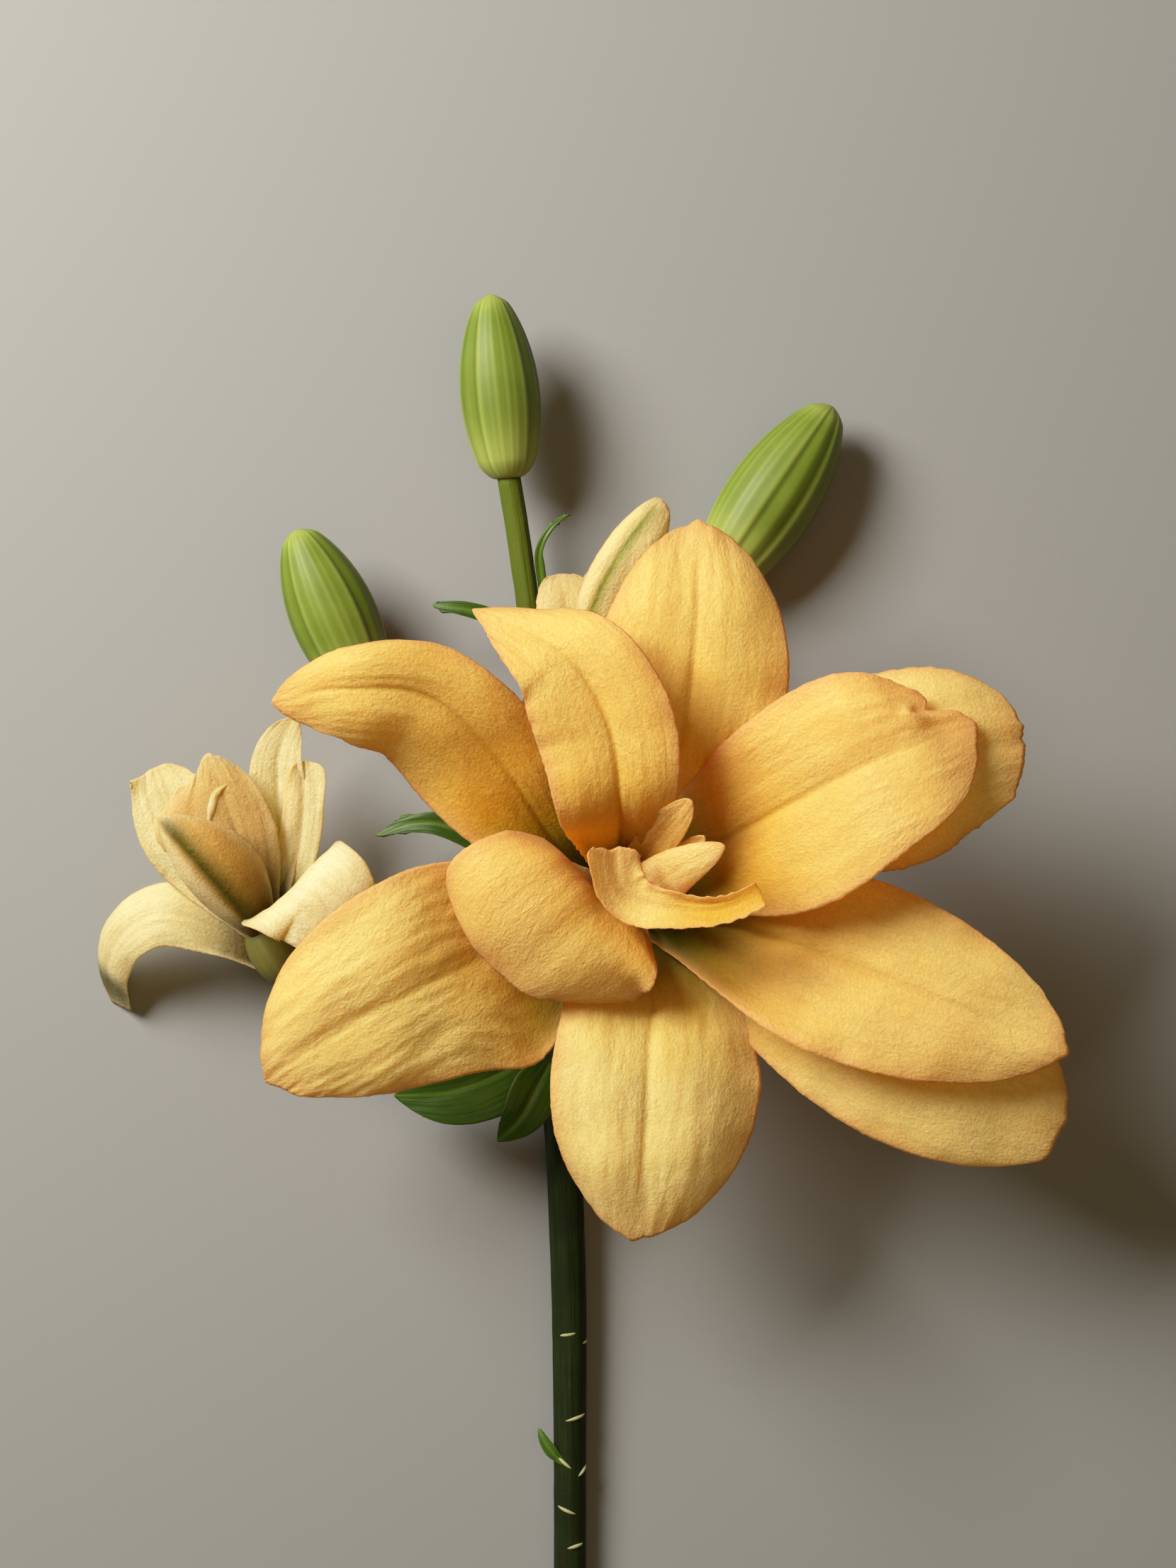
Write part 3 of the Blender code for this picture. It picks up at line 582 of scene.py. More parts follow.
innerPetals = {
    "upright": dict(
        spine=[(1.5, 3.5, 30), (3.5, 8, 46), (7, 13.5, 57), (11.6, 19.3, 66)],
        halfWidth=4.0, claw=1.5, point=0.5, cup=(60, 30, 10), cream=0.0, throat=0.4,
    ),
    "bright": dict(
        spine=[(2.5, 1, 30), (4.5, 2.5, 51), (9.5, 6.5, 65), (17.4, 10.9, 72)],
        halfWidth=5.0, claw=0.9, widest=0.5, point=0.55, cup=(50, -20, -30), cream=0.9,
    ),
    "small": dict(
        spine=[(3, 1.5, 30), (7, 4, 43), (11, 8.5, 53), (14.3, 12.4, 61)], halfWidth=2.8, cup=(50, 40, 30),
    ),
    "stalk": dict(
        spine=[(1, 0, 30), (2, 0.5, 42), (2.5, -0.2, 53), (2.8, -0.9, 61.5)],
        halfWidth=2, claw=0.8, cup=(20, 20, 20),
    ),
    "ribbon": dict(
        spine=[(24.8, 2.2, 68), (18, -0.6, 67), (9.5, -1.0, 65), (1.8, 0.2, 63), (-1.8, 4.2, 64),
               (-1.6, 10.2, 66)],
        halfWidth=5.0, claw=0.5, widest=0.85, point=0.2, cup=(30, 45, 20), roll=(0, 8, 8), throat=0.0, nib=0,
        ruffle=1.3, ragged=0.7, wrinkle=0.12, cream=0.45,
        pushes=[(1.0, 1.0, (-2.6, 0.8, 0), 0.1, 0.6), (0.3, -1.0, (0, -1.0, 0), 0.3, 0.6)],
    ),
}
innerBasics = {
    "claw": 0.5, "rows": 60, "columns": 24, "wave": (0, 1, 0), "furrow": 0.2, "sway": 0.2, "ragged": 0.2,
    "bulge": 0.1, "droop": 0.1, "nib": 0.3, "wrinkle": 0.05, "cream": 0.35,
}
apricotFaces = [apricotPetal, apricotPetalBack]
for pieceName, basics, petals, thickness in [
    ("open_bloom_outer_petals", {}, outerPetals, petalShell["outer"]),
    ("open_bloom_middle_petals", {}, middlePetals, petalShell["outer"]),
    ("open_bloom_inner_petals", innerBasics, innerPetals, petalShell["inner"]),
]:
    growBloom(pieceName, basics, petals, "main_bloom", apricotFaces, thickness)
print("open bloom grown")

# ---- faded blooms

fadedBasics = {
    "rows": 70, "columns": 36, "wave": (0.4, 2.5, 0.3), "claw": 0.3, "furrow": 0.35, "sway": 0.35,
    "bulge": 0.25, "droop": 0.4, "nib": 0.5, "wrinkle": 0.2, "ruffle": 0.3, "ragged": 0.25, "cream": 0.85,
}
leftBloom = {
    "keeledFront": dict(
        spine=[(-72.5, -10.5, 17.5), (-76, -5, 25.5), (-84, 5.5, 33.5), (-93, 16.1, 35)],
        halfWidth=8.6, skew=-0.3, widest=0.5, point=0.8, cup=(-50, -50, -30), keel=0.9, keelWidth=1.5,
        cream=0.0, creamHalf=0.9,
    ),
    "golden": dict(
        spine=[(-73, -9, 17), (-76, 3, 21), (-80, 16, 25.5), (-84, 28, 27)],
        halfWidth=10.8, skew=0.24, widest=0.6, point=0.6, cup=(-30, -15, -10), cream=0.2, wrinkle=0.35,
        ragged=0.6, pushes=[(0.72, 1.0, (-2.6, -1.0, 0), 0.15, 0.45), (0.95, 0.7, (1.0, -1.5, 0), 0.1, 0.3)],
    ),
    "paleLeft": dict(
        spine=[(-73.5, -9.5, 15.5), (-82.3, 2, 17.5), (-90.5, 14, 20), (-95.6, 26, 21)],
        halfWidth=9.2, widest=0.62, point=0.4, nib=0, cup=(30, 10, 10), cream=1.0, furrow=0.1,
        pushes=[(0.97, 0.9, (-1.4, 0, 1.0), 0.05, 0.15)],
    ),
    "upright": dict(
        spine=[(-72, -8.5, 16), (-71.5, 5, 17.5), (-71, 20, 20), (-70.4, 29, 22), (-66.8, 35.9, 23)],
        halfWidth=5.9, widest=0.64, point=0.6, cup=(30, 12, 20), cream=1.0, furrow=1.0, wrinkle=0.09,
        crumple=0.02,
    ),
    "strapRight": dict(
        spine=[(-71, -9, 14), (-68.2, 3, 17), (-65.8, 15, 20.5), (-65.2, 27.1, 22)],
        halfWidth=4.3, widest=0.6, point=0.3, nib=0, cup=(20, 10, 20), roll=(0, 0, 10), cream=0.95,
        wrinkle=0.1, pushes=[(0.95, -1.0, (1.4, 0, 1.0), 0.12, 0.3)],
    ),
    "rolledBack": dict(
        spine=[(-72, -7, 17), (-70, -2, 23), (-66.8, 1.6, 30), (-63, 1.2, 34), (-58, -3, 34),
               (-53.5, -7, 30)],
        halfWidth=12, widest=0.4, point=0.3, claw=0.26, cup=(40, 5, 0), facing=315, cream=1.0, furrow=0,
        nib=0, bulge=0, crumple=0.03, wrinkle=0.12, pushes=[(0.6, 1.0, (1.5, -0.7, 0), 0.3, 0.4)],
    ),
    "archingLeft": dict(
        spine=[(-70, -17, 13), (-82, -7.8, 17), (-93.6, -3.8, 18.5), (-103.2, -7.8, 15.5),
               (-108.2, -16, 7.6), (-107.6, -24.3, 0.9)],
        halfWidth=6.8, widest=0.42, point=0.35, cup=(40, -20, -30), cream=0.85, greenTip=1.0,
        furrow=0.1, nib=0,
        pushes=[(1.0, 0.8, (2.0, -1.0, 0), 0.12, 0.8), (0.97, -1.0, (-1.2, -0.5, 0), 0.12, 0.6)],
    ),
    "tornFold": dict(
        spine=[(-80.1, 22.6, 26.6), (-82.6, 20.7, 27.2), (-83.6, 17.7, 27), (-84.2, 14.8, 26)],
        halfWidth=1.1, rows=30, columns=12, cup=(-80, -80, -80), cream=1.0, furrow=0, throat=0, bulge=0,
        droop=0,
    ),
}
backBloom = {
    "keeled": dict(
        spine=[(-8, 37, 16), (-8.3, 48.4, 25), (-6.2, 58.7, 31), (-0.2, 69.8, 34), (7.2, 79.6, 33)],
        halfWidth=6.6, skew=-0.34, point=0.45, cup=(-50, -50, -30), keel=0.9, keelWidth=1.0, nib=0,
        wrinkle=0.06,
    ),
    "left": dict(
        spine=[(-9, 37, 14), (-11, 46, 17), (-12, 56, 19), (-12.4, 65.5, 19)],
        halfWidth=6, widest=0.7, point=0.24, cup=(40, 5, 0), nib=0, wrinkle=0.05, furrow=0.1, cream=0.5,
    ),
    "inner": dict(
        spine=[(-8, 37, 15), (-5, 49, 21), (-1.5, 60, 24), (3, 70, 25)], halfWidth=6.5, cup=(-40, -30, -10),
    ),
    "right": dict(
        spine=[(-6, 36, 15), (1, 44, 17), (9, 52, 19), (15, 61, 18)], halfWidth=6.5, cup=(40, 20, 10),
    ),
    "under": dict(
        spine=[(-8, 37, 12.5), (-7.5, 48, 13), (-6, 58, 14), (-3, 68, 14)], halfWidth=6, cup=(40, 25, 20),
    ),
}
for nodeName, petals, faces in [
    ("left_bloom", leftBloom, [fadedPetal, fadedPetalBack]),
    ("back_bloom", backBloom, [waningPetal, waningPetalBack]),
]:
    growBloom(nodeName + "_petals", fadedBasics, petals, nodeName, faces, petalShell["inner"])
print("faded blooms grown")


# ---- green parts

def greenMaterial(name, look):
    # living green skin: a thin smooth cuticle over fine lengthwise ribs, so it shines in streaks
    material, tree = newMaterial(name)
    mapNode = addNode(tree, "ShaderNodeUVMap", {"uv_map": "skinMap"})  # mm round, mm along
    place = addNode(tree, "ShaderNodeTexCoord")
    # streaks one rib apart and about thirty ribs long
    streakPlace = addNode(tree, "ShaderNodeMapping", inputs={
        "Vector": mapNode.outputs["UV"], "Scale": (1 / look["rib"], 0.03 / look["rib"], 1.0)})
    streaks = addNode(tree, "ShaderNodeTexNoise", inputs={
        "Vector": streakPlace.outputs["Vector"], "Scale": 1.0, "Detail": 3.0, "Roughness": 0.6})
    # slow patches about 11 mm across, and skin cells drawn 0.6 mm across so that they show
    patches = addNode(tree, "ShaderNodeTexNoise", inputs={
        "Vector": place.outputs["Object"], "Scale": 90.0, "Detail": 4.0, "Roughness": 0.6})
    cells = addNode(tree, "ShaderNodeTexNoise", inputs={
        "Vector": place.outputs["Object"], "Scale": 1600.0, "Detail": 2.0})
    streakShare = addNode(tree, "ShaderNodeMath", {"operation": "MULTIPLY"}, {
        0: streaks.outputs["Fac"], 1: 0.6})
    toneShare = addNode(tree, "ShaderNodeMath", {"operation": "MULTIPLY_ADD"}, {
        0: patches.outputs["Fac"], 1: 0.4, 2: streakShare.outputs[0]})
    stops = list(zip(look["tonePlaces"], look["tones"]))
    tone = addNode(tree, "ShaderNodeValToRGB", inputs={"Fac": toneShare.outputs[0]}, stops=stops)
    # paler and darker parts, as each piece marks them
    pale = addNode(tree, "ShaderNodeAttribute", {"attribute_name": "pale"})
    lightened = addNode(tree, "ShaderNodeMix", {"data_type": "RGBA"}, {
        "Factor": pale.outputs["Fac"], 6: tone.outputs["Color"], 7: paint(look["paleTone"])})
    dark = addNode(tree, "ShaderNodeAttribute", {"attribute_name": "dark"})
    darkened = addNode(tree, "ShaderNodeMix", {"data_type": "RGBA"}, {
        "Factor": dark.outputs["Fac"], 6: lightened.outputs[2], 7: paint(look["darkTone"])})
    lift = addNode(tree, "ShaderNodeMath", {"operation": "MULTIPLY_ADD"}, {
        0: cells.outputs["Fac"], 1: 0.35, 2: streaks.outputs["Fac"]})
    relief = addNode(tree, "ShaderNodeBump", inputs={
        "Strength": 0.6, "Distance": look["relief"] * mm, "Height": lift.outputs[0]})
    shader = addNode(tree, "ShaderNodeBsdfPrincipled", inputs={
        "Base Color": darkened.outputs[2], "Roughness": look["roughness"],
        "IOR": 1.42, "Specular IOR Level": look["shine"],
        "Subsurface Weight": look["flesh"], "Subsurface Scale": 0.0015,
        "Coat Weight": look["cuticle"], "Coat Roughness": 0.3, "Normal": relief.outputs["Normal"]})
    addNode(tree, "ShaderNodeOutputMaterial", inputs={"Surface": shader.outputs[0]})
    return material


greenBasics = {
    "tonePlaces": (0.3, 0.52, 0.75), "rib": 0.6,  # distance in mm between streaks
    "relief": 0.25,  # height in mm of the streaks
    "roughness": 0.5, "shine": 0.25, "flesh": 0.0, "cuticle": 0.0,
}
budSkin = greenMaterial("bud, smooth green skin", {
    **greenBasics, "tones": ("#4e5f14", "#5a6b1c", "#6a7a2a"), "paleTone": "#98a252", "darkTone": "#36440c",
    "tonePlaces": (0.3, 0.5, 0.72), "rib": 2.6, "relief": 0.05, "roughness": 0.52, "shine": 0.28,
    "flesh": 0.15, "cuticle": 0.04})
stemSkin = greenMaterial("stem, dark ribbed green skin", {
    **greenBasics, "tones": ("#0a1202", "#141e04", "#22300a"), "paleTone": "#4c5812", "darkTone": "#1a1406",
    "relief": 0.3, "roughness": 0.6, "shine": 0.18})
stalkSkin = greenMaterial("young stalk, fresh green skin", {
    **greenBasics, "tones": ("#3a440a", "#4c570f", "#606c1c"), "paleTone": "#6c7530", "darkTone": "#3a440c",
    "flesh": 0.1, "cuticle": 0.05})
leafSkin = greenMaterial("leaf, glossy dark green blade", {
    **greenBasics, "tones": ("#1a3004", "#2a4508", "#405c14"), "paleTone": "#587026", "darkTone": "#101c06",
    "rib": 0.7, "relief": 0.2, "roughness": 0.45, "cuticle": 0.05})
fadingSkin = greenMaterial("receptacle of a fading bloom, dull olive skin", {
    **greenBasics, "tones": ("#3c3a12", "#54501e", "#6b6630"), "paleTone": "#6e6a38", "darkTone": "#332c0e",
    "roughness": 0.55, "shine": 0.2, "flesh": 0.05})
scarTissue = greenMaterial("leaf scar, dry pale cork", {
    **greenBasics, "tones": ("#5c5c34", "#858456", "#a9a67c"), "paleTone": "#b4b088", "darkTone": "#5b5430",
    "rib": 0.4, "relief": 0.2, "roughness": 0.7, "shine": 0.2})


def newSkinMesh():
    # an empty mesh with the map and attributes that the green materials read
    bm = bmesh.new()
    bm.loops.layers.uv.new("skinMap")
    bm.verts.layers.float.new("pale")
    bm.verts.layers.float.new("dark")
    return bm


def wrapSkin(bm, columns, rows, lengthMm, aroundMm, surface):
    # a grid wrapped round into a closed skin: surface gives place, paleness and darkness at (share, turn)
    mapLayer = bm.loops.layers.uv["skinMap"]
    pale = bm.verts.layers.float["pale"]
    dark = bm.verts.layers.float["dark"]
    grid = bmesh.ops.create_grid(bm, x_segments=columns, y_segments=rows, size=1)
    verts = grid["verts"]
    faces = {face for vert in verts for face in vert.link_faces}
    spots = {vert: ((vert.co.y + 1) / 2, math.pi * vert.co.x) for vert in verts}
    for vert, (share, turn) in spots.items():
        spot, vert[pale], vert[dark] = surface(share, turn)
        vert.co = toRow(spot)
    for face in faces:
        for loop in face.loops:
            share, turn = spots[loop.vert]
            loop[mapLayer].uv = (turn / math.tau * aroundMm, share * lengthMm)
    bmesh.ops.remove_doubles(bm, verts=verts, dist=0.01 * mm)
    ends = [edge for edge in bm.edges if edge.is_boundary]
    bmesh.ops.holes_fill(bm, edges=ends)
    bmesh.ops.recalc_face_normals(bm, faces=bm.faces)


buds = {
    "top_bud": {"root": (-23.9, 85.6, 14.1), "tip": (-27.6, 123, 17), "radius": 8.2, "turn": 35},
    "left_bud": {"root": (-53.2, 41.9, 14.1), "tip": (-67.4, 74.6, 18), "radius": 8.9, "turn": 30},
    "right_bud": {"root": (19.1, 65, 8.9), "tip": (43.3, 101, 10), "radius": 9.7, "turn": -10},
}
budShape = {
    "grid": (180, 110),  # faces round and along
    "stalkRadius": 2.4,
    "shoulder": 0.1,    # share of the length in which the base rounds off to the stalk
    "tipRound": 0.06,   # share of the length in which the tip closes
    # strips of the inner petals that show between the outer three: half width in degrees, depth
    # and crease as shares of the radius, width of the crease in degrees
    "stripHalf": 18.0, "stripDepth": 0.035, "creaseDepth": 0.025, "creaseWidth": 8.0,
    "seamDepth": 0.025, "seamWidth": 4.0,    # the line where an outer petal's rim lies on a strip
    "marginPlace": 25.0, "marginWidth": 4.5,  # the pale rim of an outer petal
    "ridges": [(52.0, 3.0, 1.0), (41.0, 2.5, 0.6)],  # veins: place and width in degrees, strength
    "ridgeHeight": 0.008,
}


def budSkinAt(bud, share, turn):
    # radius, paleness and darkness of the skin, the darkness being painted shade along the seams: three
    # outer petals wrap round strips of the inner three
    body = math.sin(math.pi * min(0.12 + 0.855 * share, 1)) ** 0.55
    base = math.sqrt(1 - (1 - min(share / budShape["shoulder"], 1)) ** 2)
    closing = max(share - 1 + budShape["tipRound"], 0) / budShape["tipRound"]
    tip = math.sqrt(max(1 - closing ** 2, 0))
    fromStrip = abs((math.degrees(turn) - bud["turn"] + 60) % 120 - 60)
    seam = math.exp(-((fromStrip - budShape["stripHalf"]) / budShape["seamWidth"]) ** 2)
    margin = math.exp(-((fromStrip - budShape["marginPlace"]) / budShape["marginWidth"]) ** 2)
    ridge = sum(strength * math.exp(-((fromStrip - place) / width) ** 2)
                for place, width, strength in budShape["ridges"])
    half = budShape["stripHalf"]
    sunk = budShape["stripDepth"] * smoothStep(half + 3, half - 6, fromStrip)
    sunk -= budShape["creaseDepth"] * math.exp(-(fromStrip / budShape["creaseWidth"]) ** 2)
    width = 1 - sunk - budShape["seamDepth"] * seam + budShape["ridgeHeight"] * (ridge + margin)
    width *= bud["radius"] * body * tip
    stalkRadius = budShape["stalkRadius"]
    width = stalkRadius + (width - stalkRadius) * base if share < budShape["shoulder"] else width
    pale = 0.3 * margin + 0.2 * ridge
    pale += 0.6 * smoothStep(0.4, 0.05, share) + 0.4 * smoothStep(0.85, 1.0, share)
    # the seam is darkened as painted shade in its groove
    return width, min(pale, 1), 0.3 * seam


def growBud(name, bud):
    # a closed skin on the axis from root to tip
    axis = Vector(bud["tip"]) - Vector(bud["root"])
    toAxis = axis.to_track_quat("Z", "Y")

    def surface(share, turn):
        rung = (1 - math.cos(math.pi * share)) / 2  # closer together at both ends
        width, pale, dark = budSkinAt(bud, rung, turn)
        if share in (0, 1):
            width = 0
        across = Vector((width * math.cos(turn), width * math.sin(turn), axis.length * rung))
        spot = Vector(bud["root"]) + toAxis @ across
        spot.z = max(spot.z, 0)
        return spot, pale, dark

    bm = newSkinMesh()
    wrapSkin(bm, *budShape["grid"], axis.length, bud["radius"] * 5, surface)
    return finishPiece(name + "_skin", bm, name, [budSkin])


for budName, bud in buds.items():
    growBud(budName, bud)
print("buds grown")

stemRoute = [
    (-11.3, -165, 3.3), (-11.3, -128, 4.2), (-11.4, -92, 5.2), (-12, -68, 6.4),
    (-13, -48, 8), (-14.8, -30, 9), (-16.5, -8, 9.5), (-17.6, 20, 10),
    (-19.2, 52, 11), (-21.5, 71, 12.5), (-23.7, 85, 14),
]
stemRadii = [3.3, 3.35, 3.4, 3.6, 3.7, 3.7, 3.3, 2.9, 2.5, 2.4, 2.4]
stalks = {
    "main": {
        "route": [(-14.6, -32, 9), (-11, -24, 10), (-5, -13, 12.5), (-1, -5, 16.5), (0, -1, 21)],
        "radii": [2.7, 2.4, 2.4, 3.4],
    },
    "left_bloom": {
        "route": [(-15, -29, 9), (-28, -31, 10.5), (-46, -28, 12), (-60, -22.5, 13), (-69.3, -17.2, 14.1)],
        "radii": [2.7, 2.4, 2.4, 2.6],
    },
    "left_bud": {
        "route": [(-16.4, -9, 9.4), (-24, 4, 10.5), (-37.5, 23, 12), (-52.9, 41.5, 14)],
        "radii": [2.7, 2.4, 2.4, 2.4],
    },
    "right_bud": {
        "route": [(-16.6, -3, 9.4), (-6, 13, 8.8), (8, 38, 8.8), (18.9, 64.6, 8.9)],
        "radii": [2.7, 2.4, 2.4, 2.4],
    },
    "back_bloom": {
        "route": [(-17.3, 12, 9.8), (-15, 20, 10.5), (-10.5, 28, 12), (-8, 35, 14)],
        "radii": [2.7, 2.4, 2.4, 2.4],
    },
}
tubeLook = {
    "ribs": 9, "ribHeight": 0.05, "swell": 0.06,  # heights in mm
    "overrun": 1.2,  # how far in mm the end goes into what the stalk carries
    "stemGrid": (48, 320), "stalkGrid": (36, 60),  # faces round and along
    "stemPaleness": (0.0, 0.9), "stalkPaleness": (0.1, 0.0),  # at the foot, and added near the top
}


def growTube(name, route, radii, meshGrid, material, paleness):
    # a ribbed stem or stalk along a route
    columns, rows = meshGrid
    frames, length = spineFrames(route, None, rows)

    def surface(share, turn):
        point, direction, side, normal = frames[round(share * rows)]
        if share == 1:
            point = point + direction * tubeLook["overrun"]
        ribTurn = turn * tubeLook["ribs"] + 1.5 * noise.noise(point * 0.03)
        ribs = tubeLook["ribHeight"] * math.sin(ribTurn)
        ribs += tubeLook["swell"] * noise.noise(point * 0.25 + side * math.cos(turn) * 2)
        radius = along(radii, share) + ribs
        grime = 0.5 + noise.noise(point * 0.12 + side * math.cos(turn))
        dark = 0.5 * smoothStep(0.35, 0.0, share) * grime
        pale = paleness[0] + paleness[1] * smoothStep(0.75, 0.95, share)
        spot = point + (side * math.cos(turn) + normal * math.sin(turn)) * radius
        return spot, pale, min(max(dark, 0), 1)

    bm = newSkinMesh()
    wrapSkin(bm, columns, rows, length, 20, surface)
    return finishPiece(name, bm, "stem", [material])


growTube("stem_skin", stemRoute, stemRadii, tubeLook["stemGrid"], stemSkin, tubeLook["stemPaleness"])
for stalkName, stalk in stalks.items():
    growTube(stalkName + "_stalk_skin", stalk["route"], stalk["radii"], tubeLook["stalkGrid"], stalkSkin,
             tubeLook["stalkPaleness"])
print("stem and stalks grown")

# receptacles under the blooms
receptacles = {
    "main_bloom": {
        "middle": (0, -0.5, 27), "axis": (0, 0.05, 1), "radius": 6.6, "halfLength": 6.6, "skin": stalkSkin},
    "left_bloom": {
        "middle": (-72.2, -12.5, 16.5), "axis": (-0.5, 0.78, 0.38), "radius": 4.8, "halfLength": 8.0,
        "skin": fadingSkin},
    "back_bloom": {
        "middle": (-8, 37.5, 14.8), "axis": (0.1, 0.95, 0.3), "radius": 4.0, "halfLength": 5.0,
        "skin": fadingSkin},
}
for bloomName, shape in receptacles.items():
    toAxis = Vector(shape["axis"]).to_track_quat("Z", "Y")

    def surface(share, turn, shape=shape, toAxis=toAxis):
        width = shape["radius"] * math.sin(math.pi * share) * (1 - 0.04 * abs(math.cos(3 * turn)))
        if share in (0, 1):
            width = 0
        height = -shape["halfLength"] * math.cos(math.pi * share)
        spot = Vector((width * math.cos(turn), width * math.sin(turn), height))
        return Vector(shape["middle"]) + toAxis @ spot, 0.4, 0.0

    bm = newSkinMesh()
    wrapSkin(bm, 48, 24, shape["halfLength"] * 2, 30, surface)
    finishPiece(bloomName + "_receptacle_skin", bm, bloomName, [shape["skin"]])

# ---- leaves

leafBasics = {
    "rows": 60, "columns": 24, "widest": 0.45, "point": 0.85, "claw": 0.35, "cup": (25, 14, 5),
    "wave": (0, 1, 0), "furrow": 0.35, "bulge": 0.1, "droop": 0.1, "nib": 0.2, "wrinkle": 0.06,
    "sway": 0.2, "ruffle": 0.15, "ragged": 0.05, "thickness": 0.6,
}
leaves = {
    "whorl_leaf_left": dict(
        spine=[(-15, -31, 10), (-25, -37, 14), (-36, -41, 15), (-47.5, -42, 13)], halfWidth=8,
    ),
    "whorl_leaf_down": dict(
        spine=[(-14.5, -34, 10.5), (-17.5, -39, 17), (-21, -45.5, 18.5), (-26, -51, 16)], halfWidth=5,
    ),
    "side_leaf": dict(
        spine=[(-17, -1, 10.5), (-25, 8, 16.5), (-36, 13.8, 18.5), (-44, 14.3, 18), (-51.4, 11.8, 16)],
        halfWidth=2.8,
    ),
    "top_leaf": dict(
        spine=[(-19.2, 54, 11), (-26, 56.6, 15), (-33, 58.6, 16), (-39.3, 59.3, 15)],
        halfWidth=1.7, point=0.5,
    ),
    "top_bract": dict(
        spine=[(-17, 55, 11), (-17, 63, 14.5), (-17.6, 70, 16.5), (-15.2, 75, 17.2), (-11.3, 78, 17)],
        halfWidth=0.9, claw=0.8,
    ),
}
leafRemnant = {  # what is left of a leaf stripped off the stem
    "spine": [(-12.6, -119.5, 7.4), (-14.8, -117.3, 7.6), (-16.6, -114.8, 7.2), (-17.8, -112.4, 6.4)],
    "halfWidth": 1.3, "rows": 24, "columns": 10, "thickness": 0.5,
}


def growLeaf(name, settings, node):
    # a leaf blade, shaped as the petals are, with a paler midrib and rim
    leaf = {**petalBasics, **leafBasics, **settings}
    bm = newSkinMesh()
    mapLayer = bm.loops.layers.uv["skinMap"]
    pale = bm.verts.layers.float["pale"]
    frames, length = spineFrames(leaf["spine"], leaf["facing"])
    grid = bmesh.ops.create_grid(bm, x_segments=leaf["columns"], y_segments=leaf["rows"], size=1)
    faces = list(bm.faces)
    spots = {vert: (vert.co.x, (vert.co.y + 1) / 2) for vert in grid["verts"]}
    for vert, (across, up) in spots.items():
        spot, share = petalPlace(leaf, frames, length, up, across, len(name))
        vert.co = toRow(spot)
        midrib = math.exp(-(across * leaf["halfWidth"] / 0.5) ** 2)
        vert[pale] = 0.55 * midrib + 0.5 * smoothStep(0.93, 1.0, abs(across))
    for face in faces:
        for loop in face.loops:
            across, up = spots[loop.vert]
            loop[mapLayer].uv = (across * leaf["halfWidth"], up * length)
    bmesh.ops.reverse_faces(bm, faces=faces)
    piece = finishPiece(name + "_blade", bm, node, [leafSkin])
    shell = piece.modifiers.new("leaf thickness", "SOLIDIFY")
    shell.thickness = leaf["thickness"] * mm
    shell.offset = -1
    return piece


for leafName, settings in leaves.items():
    growLeaf(leafName, settings, leafName)
growLeaf("leaf_remnant", leafRemnant, "stem")
print("leaves grown")

# ---- scars of stripped leaves: thin pale lips round part of the stem

scars = [  # place along the stem in mm, turn from the top in degrees, half span in degrees, tilt in mm
    (-92, -5, 32, 0.3), (-94, 80, 30, 0.2), (-110, 26, 40, 0.6), (-119, -20, 26, -1.2), (-121, 55, 22, 1.0),
    (-129, -12, 34, -0.8), (-137, 22, 30, 0.4), (-148, -40, 34, 0.5),
]
scarLip = {"radius": 0.38, "stemRadius": 3.42, "rows": 24, "columns": 12, "stops": 3}  # radii in mm
stemPoints, stemLength = evenPoints(stemRoute, 400)
bm = newSkinMesh()
for height, turn, span, tilt in scars:
    middle = min(stemPoints, key=lambda p: abs(p.y - height))
    lip = []
    for i in range(-scarLip["stops"], scarLip["stops"] + 1):
        angle = math.radians(turn + span * i / scarLip["stops"])
        out = Vector((math.sin(angle), 0, math.cos(angle)))
        lip.append(middle + out * scarLip["stemRadius"] + Vector((0, tilt * i / scarLip["stops"], 0)))
    frames, length = spineFrames(lip, 90, scarLip["rows"])

    def surface(share, turn, frames=frames):
        point, direction, side, normal = frames[round(share * scarLip["rows"])]
        radius = scarLip["radius"] * math.sin(math.pi * min(max(share, 0.02), 0.98)) ** 0.6
        return point + (side * math.cos(turn) + normal * math.sin(turn)) * radius, 0.3, 0.0

    wrapSkin(bm, scarLip["columns"], scarLip["rows"], length, 3, surface)
finishPiece("leaf_scars", bm, "stem", [scarTissue])
print("scars drawn")

# ---- floor, light and camera

floorLook = {"size": 3.0, "colour": "#7c7d7c", "drop": 0.0002}  # just below the lowest petal, in metres
bm = bmesh.new()
bmesh.ops.create_grid(bm, x_segments=1, y_segments=1, size=floorLook["size"])
floorMesh = bpy.data.meshes.new("floor")
bm.to_mesh(floorMesh)
bm.free()
floor = bpy.data.objects.new("floor", floorMesh)
floor.location.z = -floorLook["drop"]
bpy.context.scene.collection.objects.link(floor)
material, tree = newMaterial("matt painted board")  # even, no shine
place = addNode(tree, "ShaderNodeTexCoord")
speckle = addNode(tree, "ShaderNodeTexNoise", inputs={  # grains about 1 mm apart
    "Vector": place.outputs["Object"], "Scale": 900.0, "Detail": 2.0})
relief = addNode(tree, "ShaderNodeBump", inputs={
    "Strength": 0.1, "Distance": 0.0002, "Height": speckle.outputs["Fac"]})
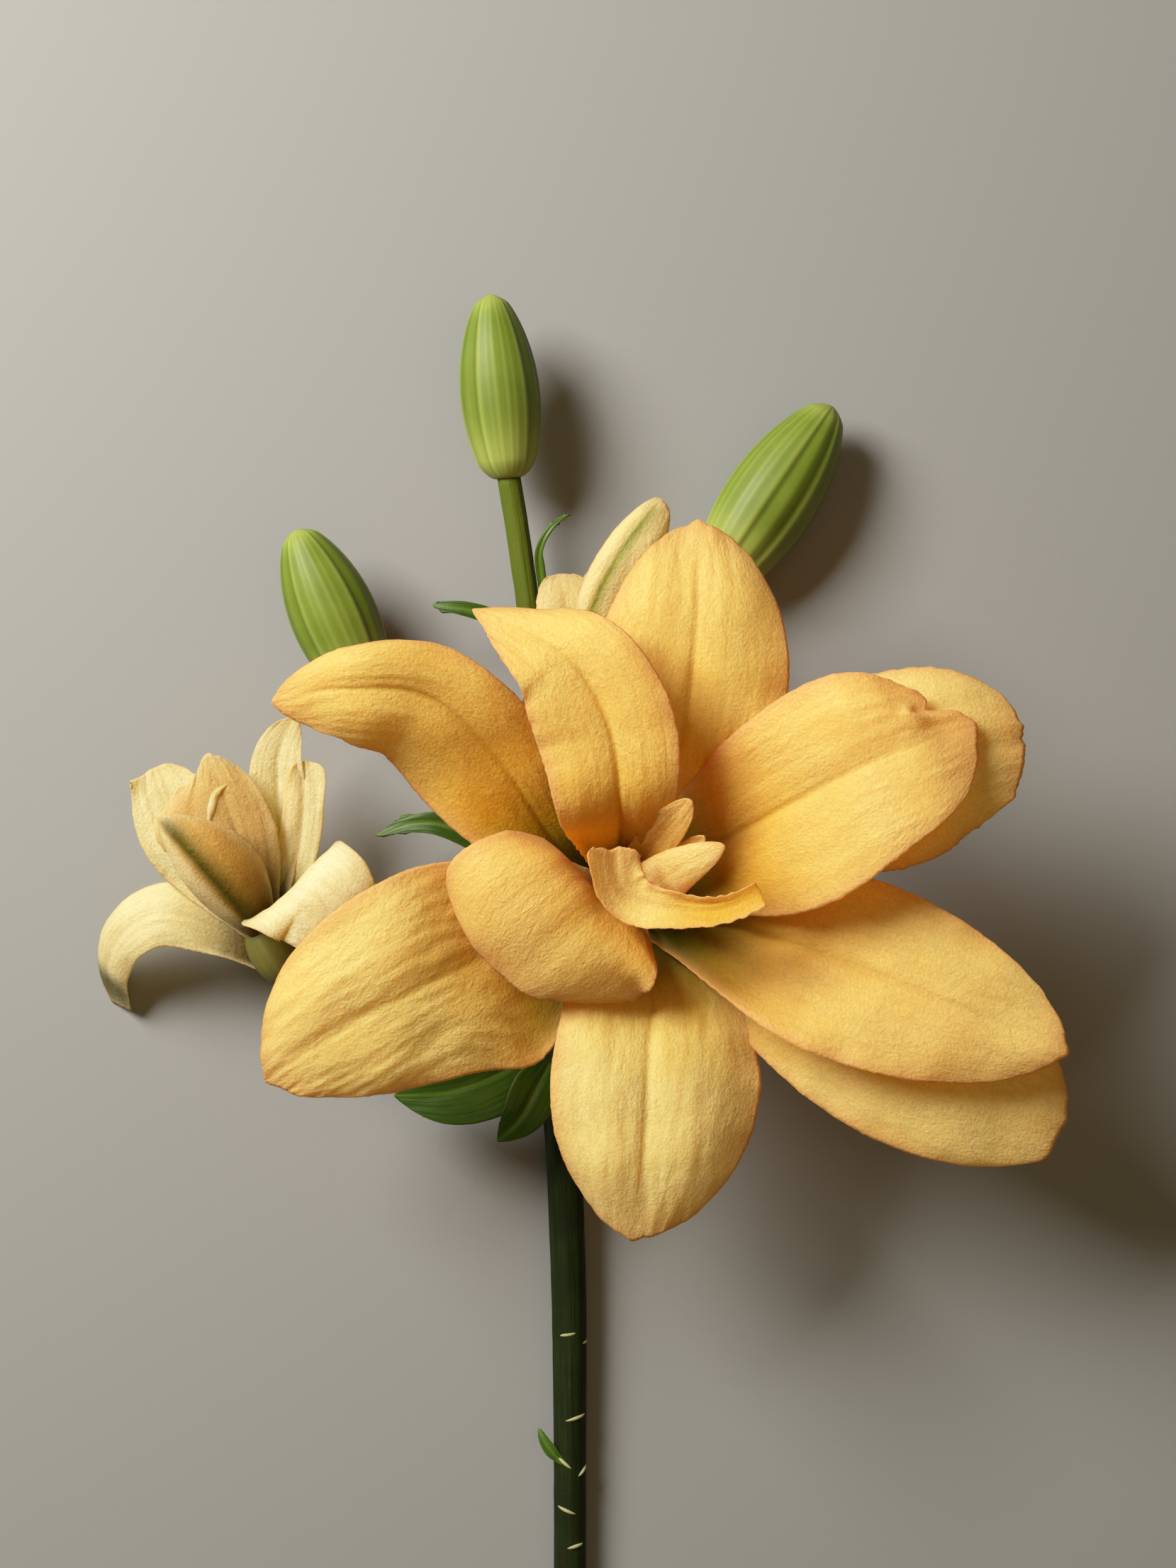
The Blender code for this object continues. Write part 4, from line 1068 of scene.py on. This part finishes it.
shader = addNode(tree, "ShaderNodeBsdfPrincipled", inputs={
    "Base Color": paint(floorLook["colour"]), "Roughness": 0.85, "Normal": relief.outputs["Normal"]})
addNode(tree, "ShaderNodeOutputMaterial", inputs={"Surface": shader.outputs[0]})
floorMesh.materials.append(material)

lights = {  # places and sizes in metres
    "key": {"place": (-0.47, 0.42, 0.53), "size": 0.38, "power": 16.5, "colour": "#fffaf1"},
    "fill": {"place": (0.25, -0.05, 0.95), "size": 0.9, "power": 1.9, "colour": "#ffe0a8"},
}
lightsAim = Vector((0, 0.02, 0.04))
roomLook = {"colour": "#e8d0a0", "strength": 0.11}
for lightName, look in lights.items():
    lamp = bpy.data.lights.new(lightName, "AREA")
    lamp.size = look["size"]
    lamp.energy = look["power"]
    lamp.color = paint(look["colour"])[:3]
    light = bpy.data.objects.new(lightName, lamp)
    light.location = look["place"]
    light.rotation_euler = (lightsAim - light.location).to_track_quat("-Z", "Y").to_euler()
    bpy.context.scene.collection.objects.link(light)
world = bpy.data.worlds.new("room")
world.use_nodes = True
room = world.node_tree.nodes["Background"]
room.inputs["Color"].default_value = paint(roomLook["colour"])
room.inputs["Strength"].default_value = roomLook["strength"]
bpy.context.scene.world = world

# Standard keeps the petals' strong yellow, and a soft shoulder lets the brightest parts pale as on film
filmCurve = [(0.25, 0.34), (0.5, 0.65), (0.75, 0.87)]
brightest = 1.4
viewSettings = bpy.context.scene.view_settings
viewSettings.view_transform = "Standard"
viewSettings.use_curve_mapping = True
viewSettings.curve_mapping.white_level = (brightest, brightest, brightest)
for shareIn, shareOut in filmCurve:
    viewSettings.curve_mapping.curves[3].points.new(shareIn, shareOut)
viewSettings.curve_mapping.update()

# the camera looks straight down on the spray, as the photo looks straight at it
cameraLook = {"over": (-7.5, 22.5), "height": 575.0, "lens": 62.4, "sensor": 36}
camera = bpy.data.objects.new("camera", bpy.data.cameras.new("camera"))
camera.data.sensor_width = cameraLook["sensor"]
camera.data.lens = cameraLook["lens"]
camera.location = toRow((*cameraLook["over"], cameraLook["height"]))
bpy.context.scene.collection.objects.link(camera)
bpy.context.scene.camera = camera
print("stage set")
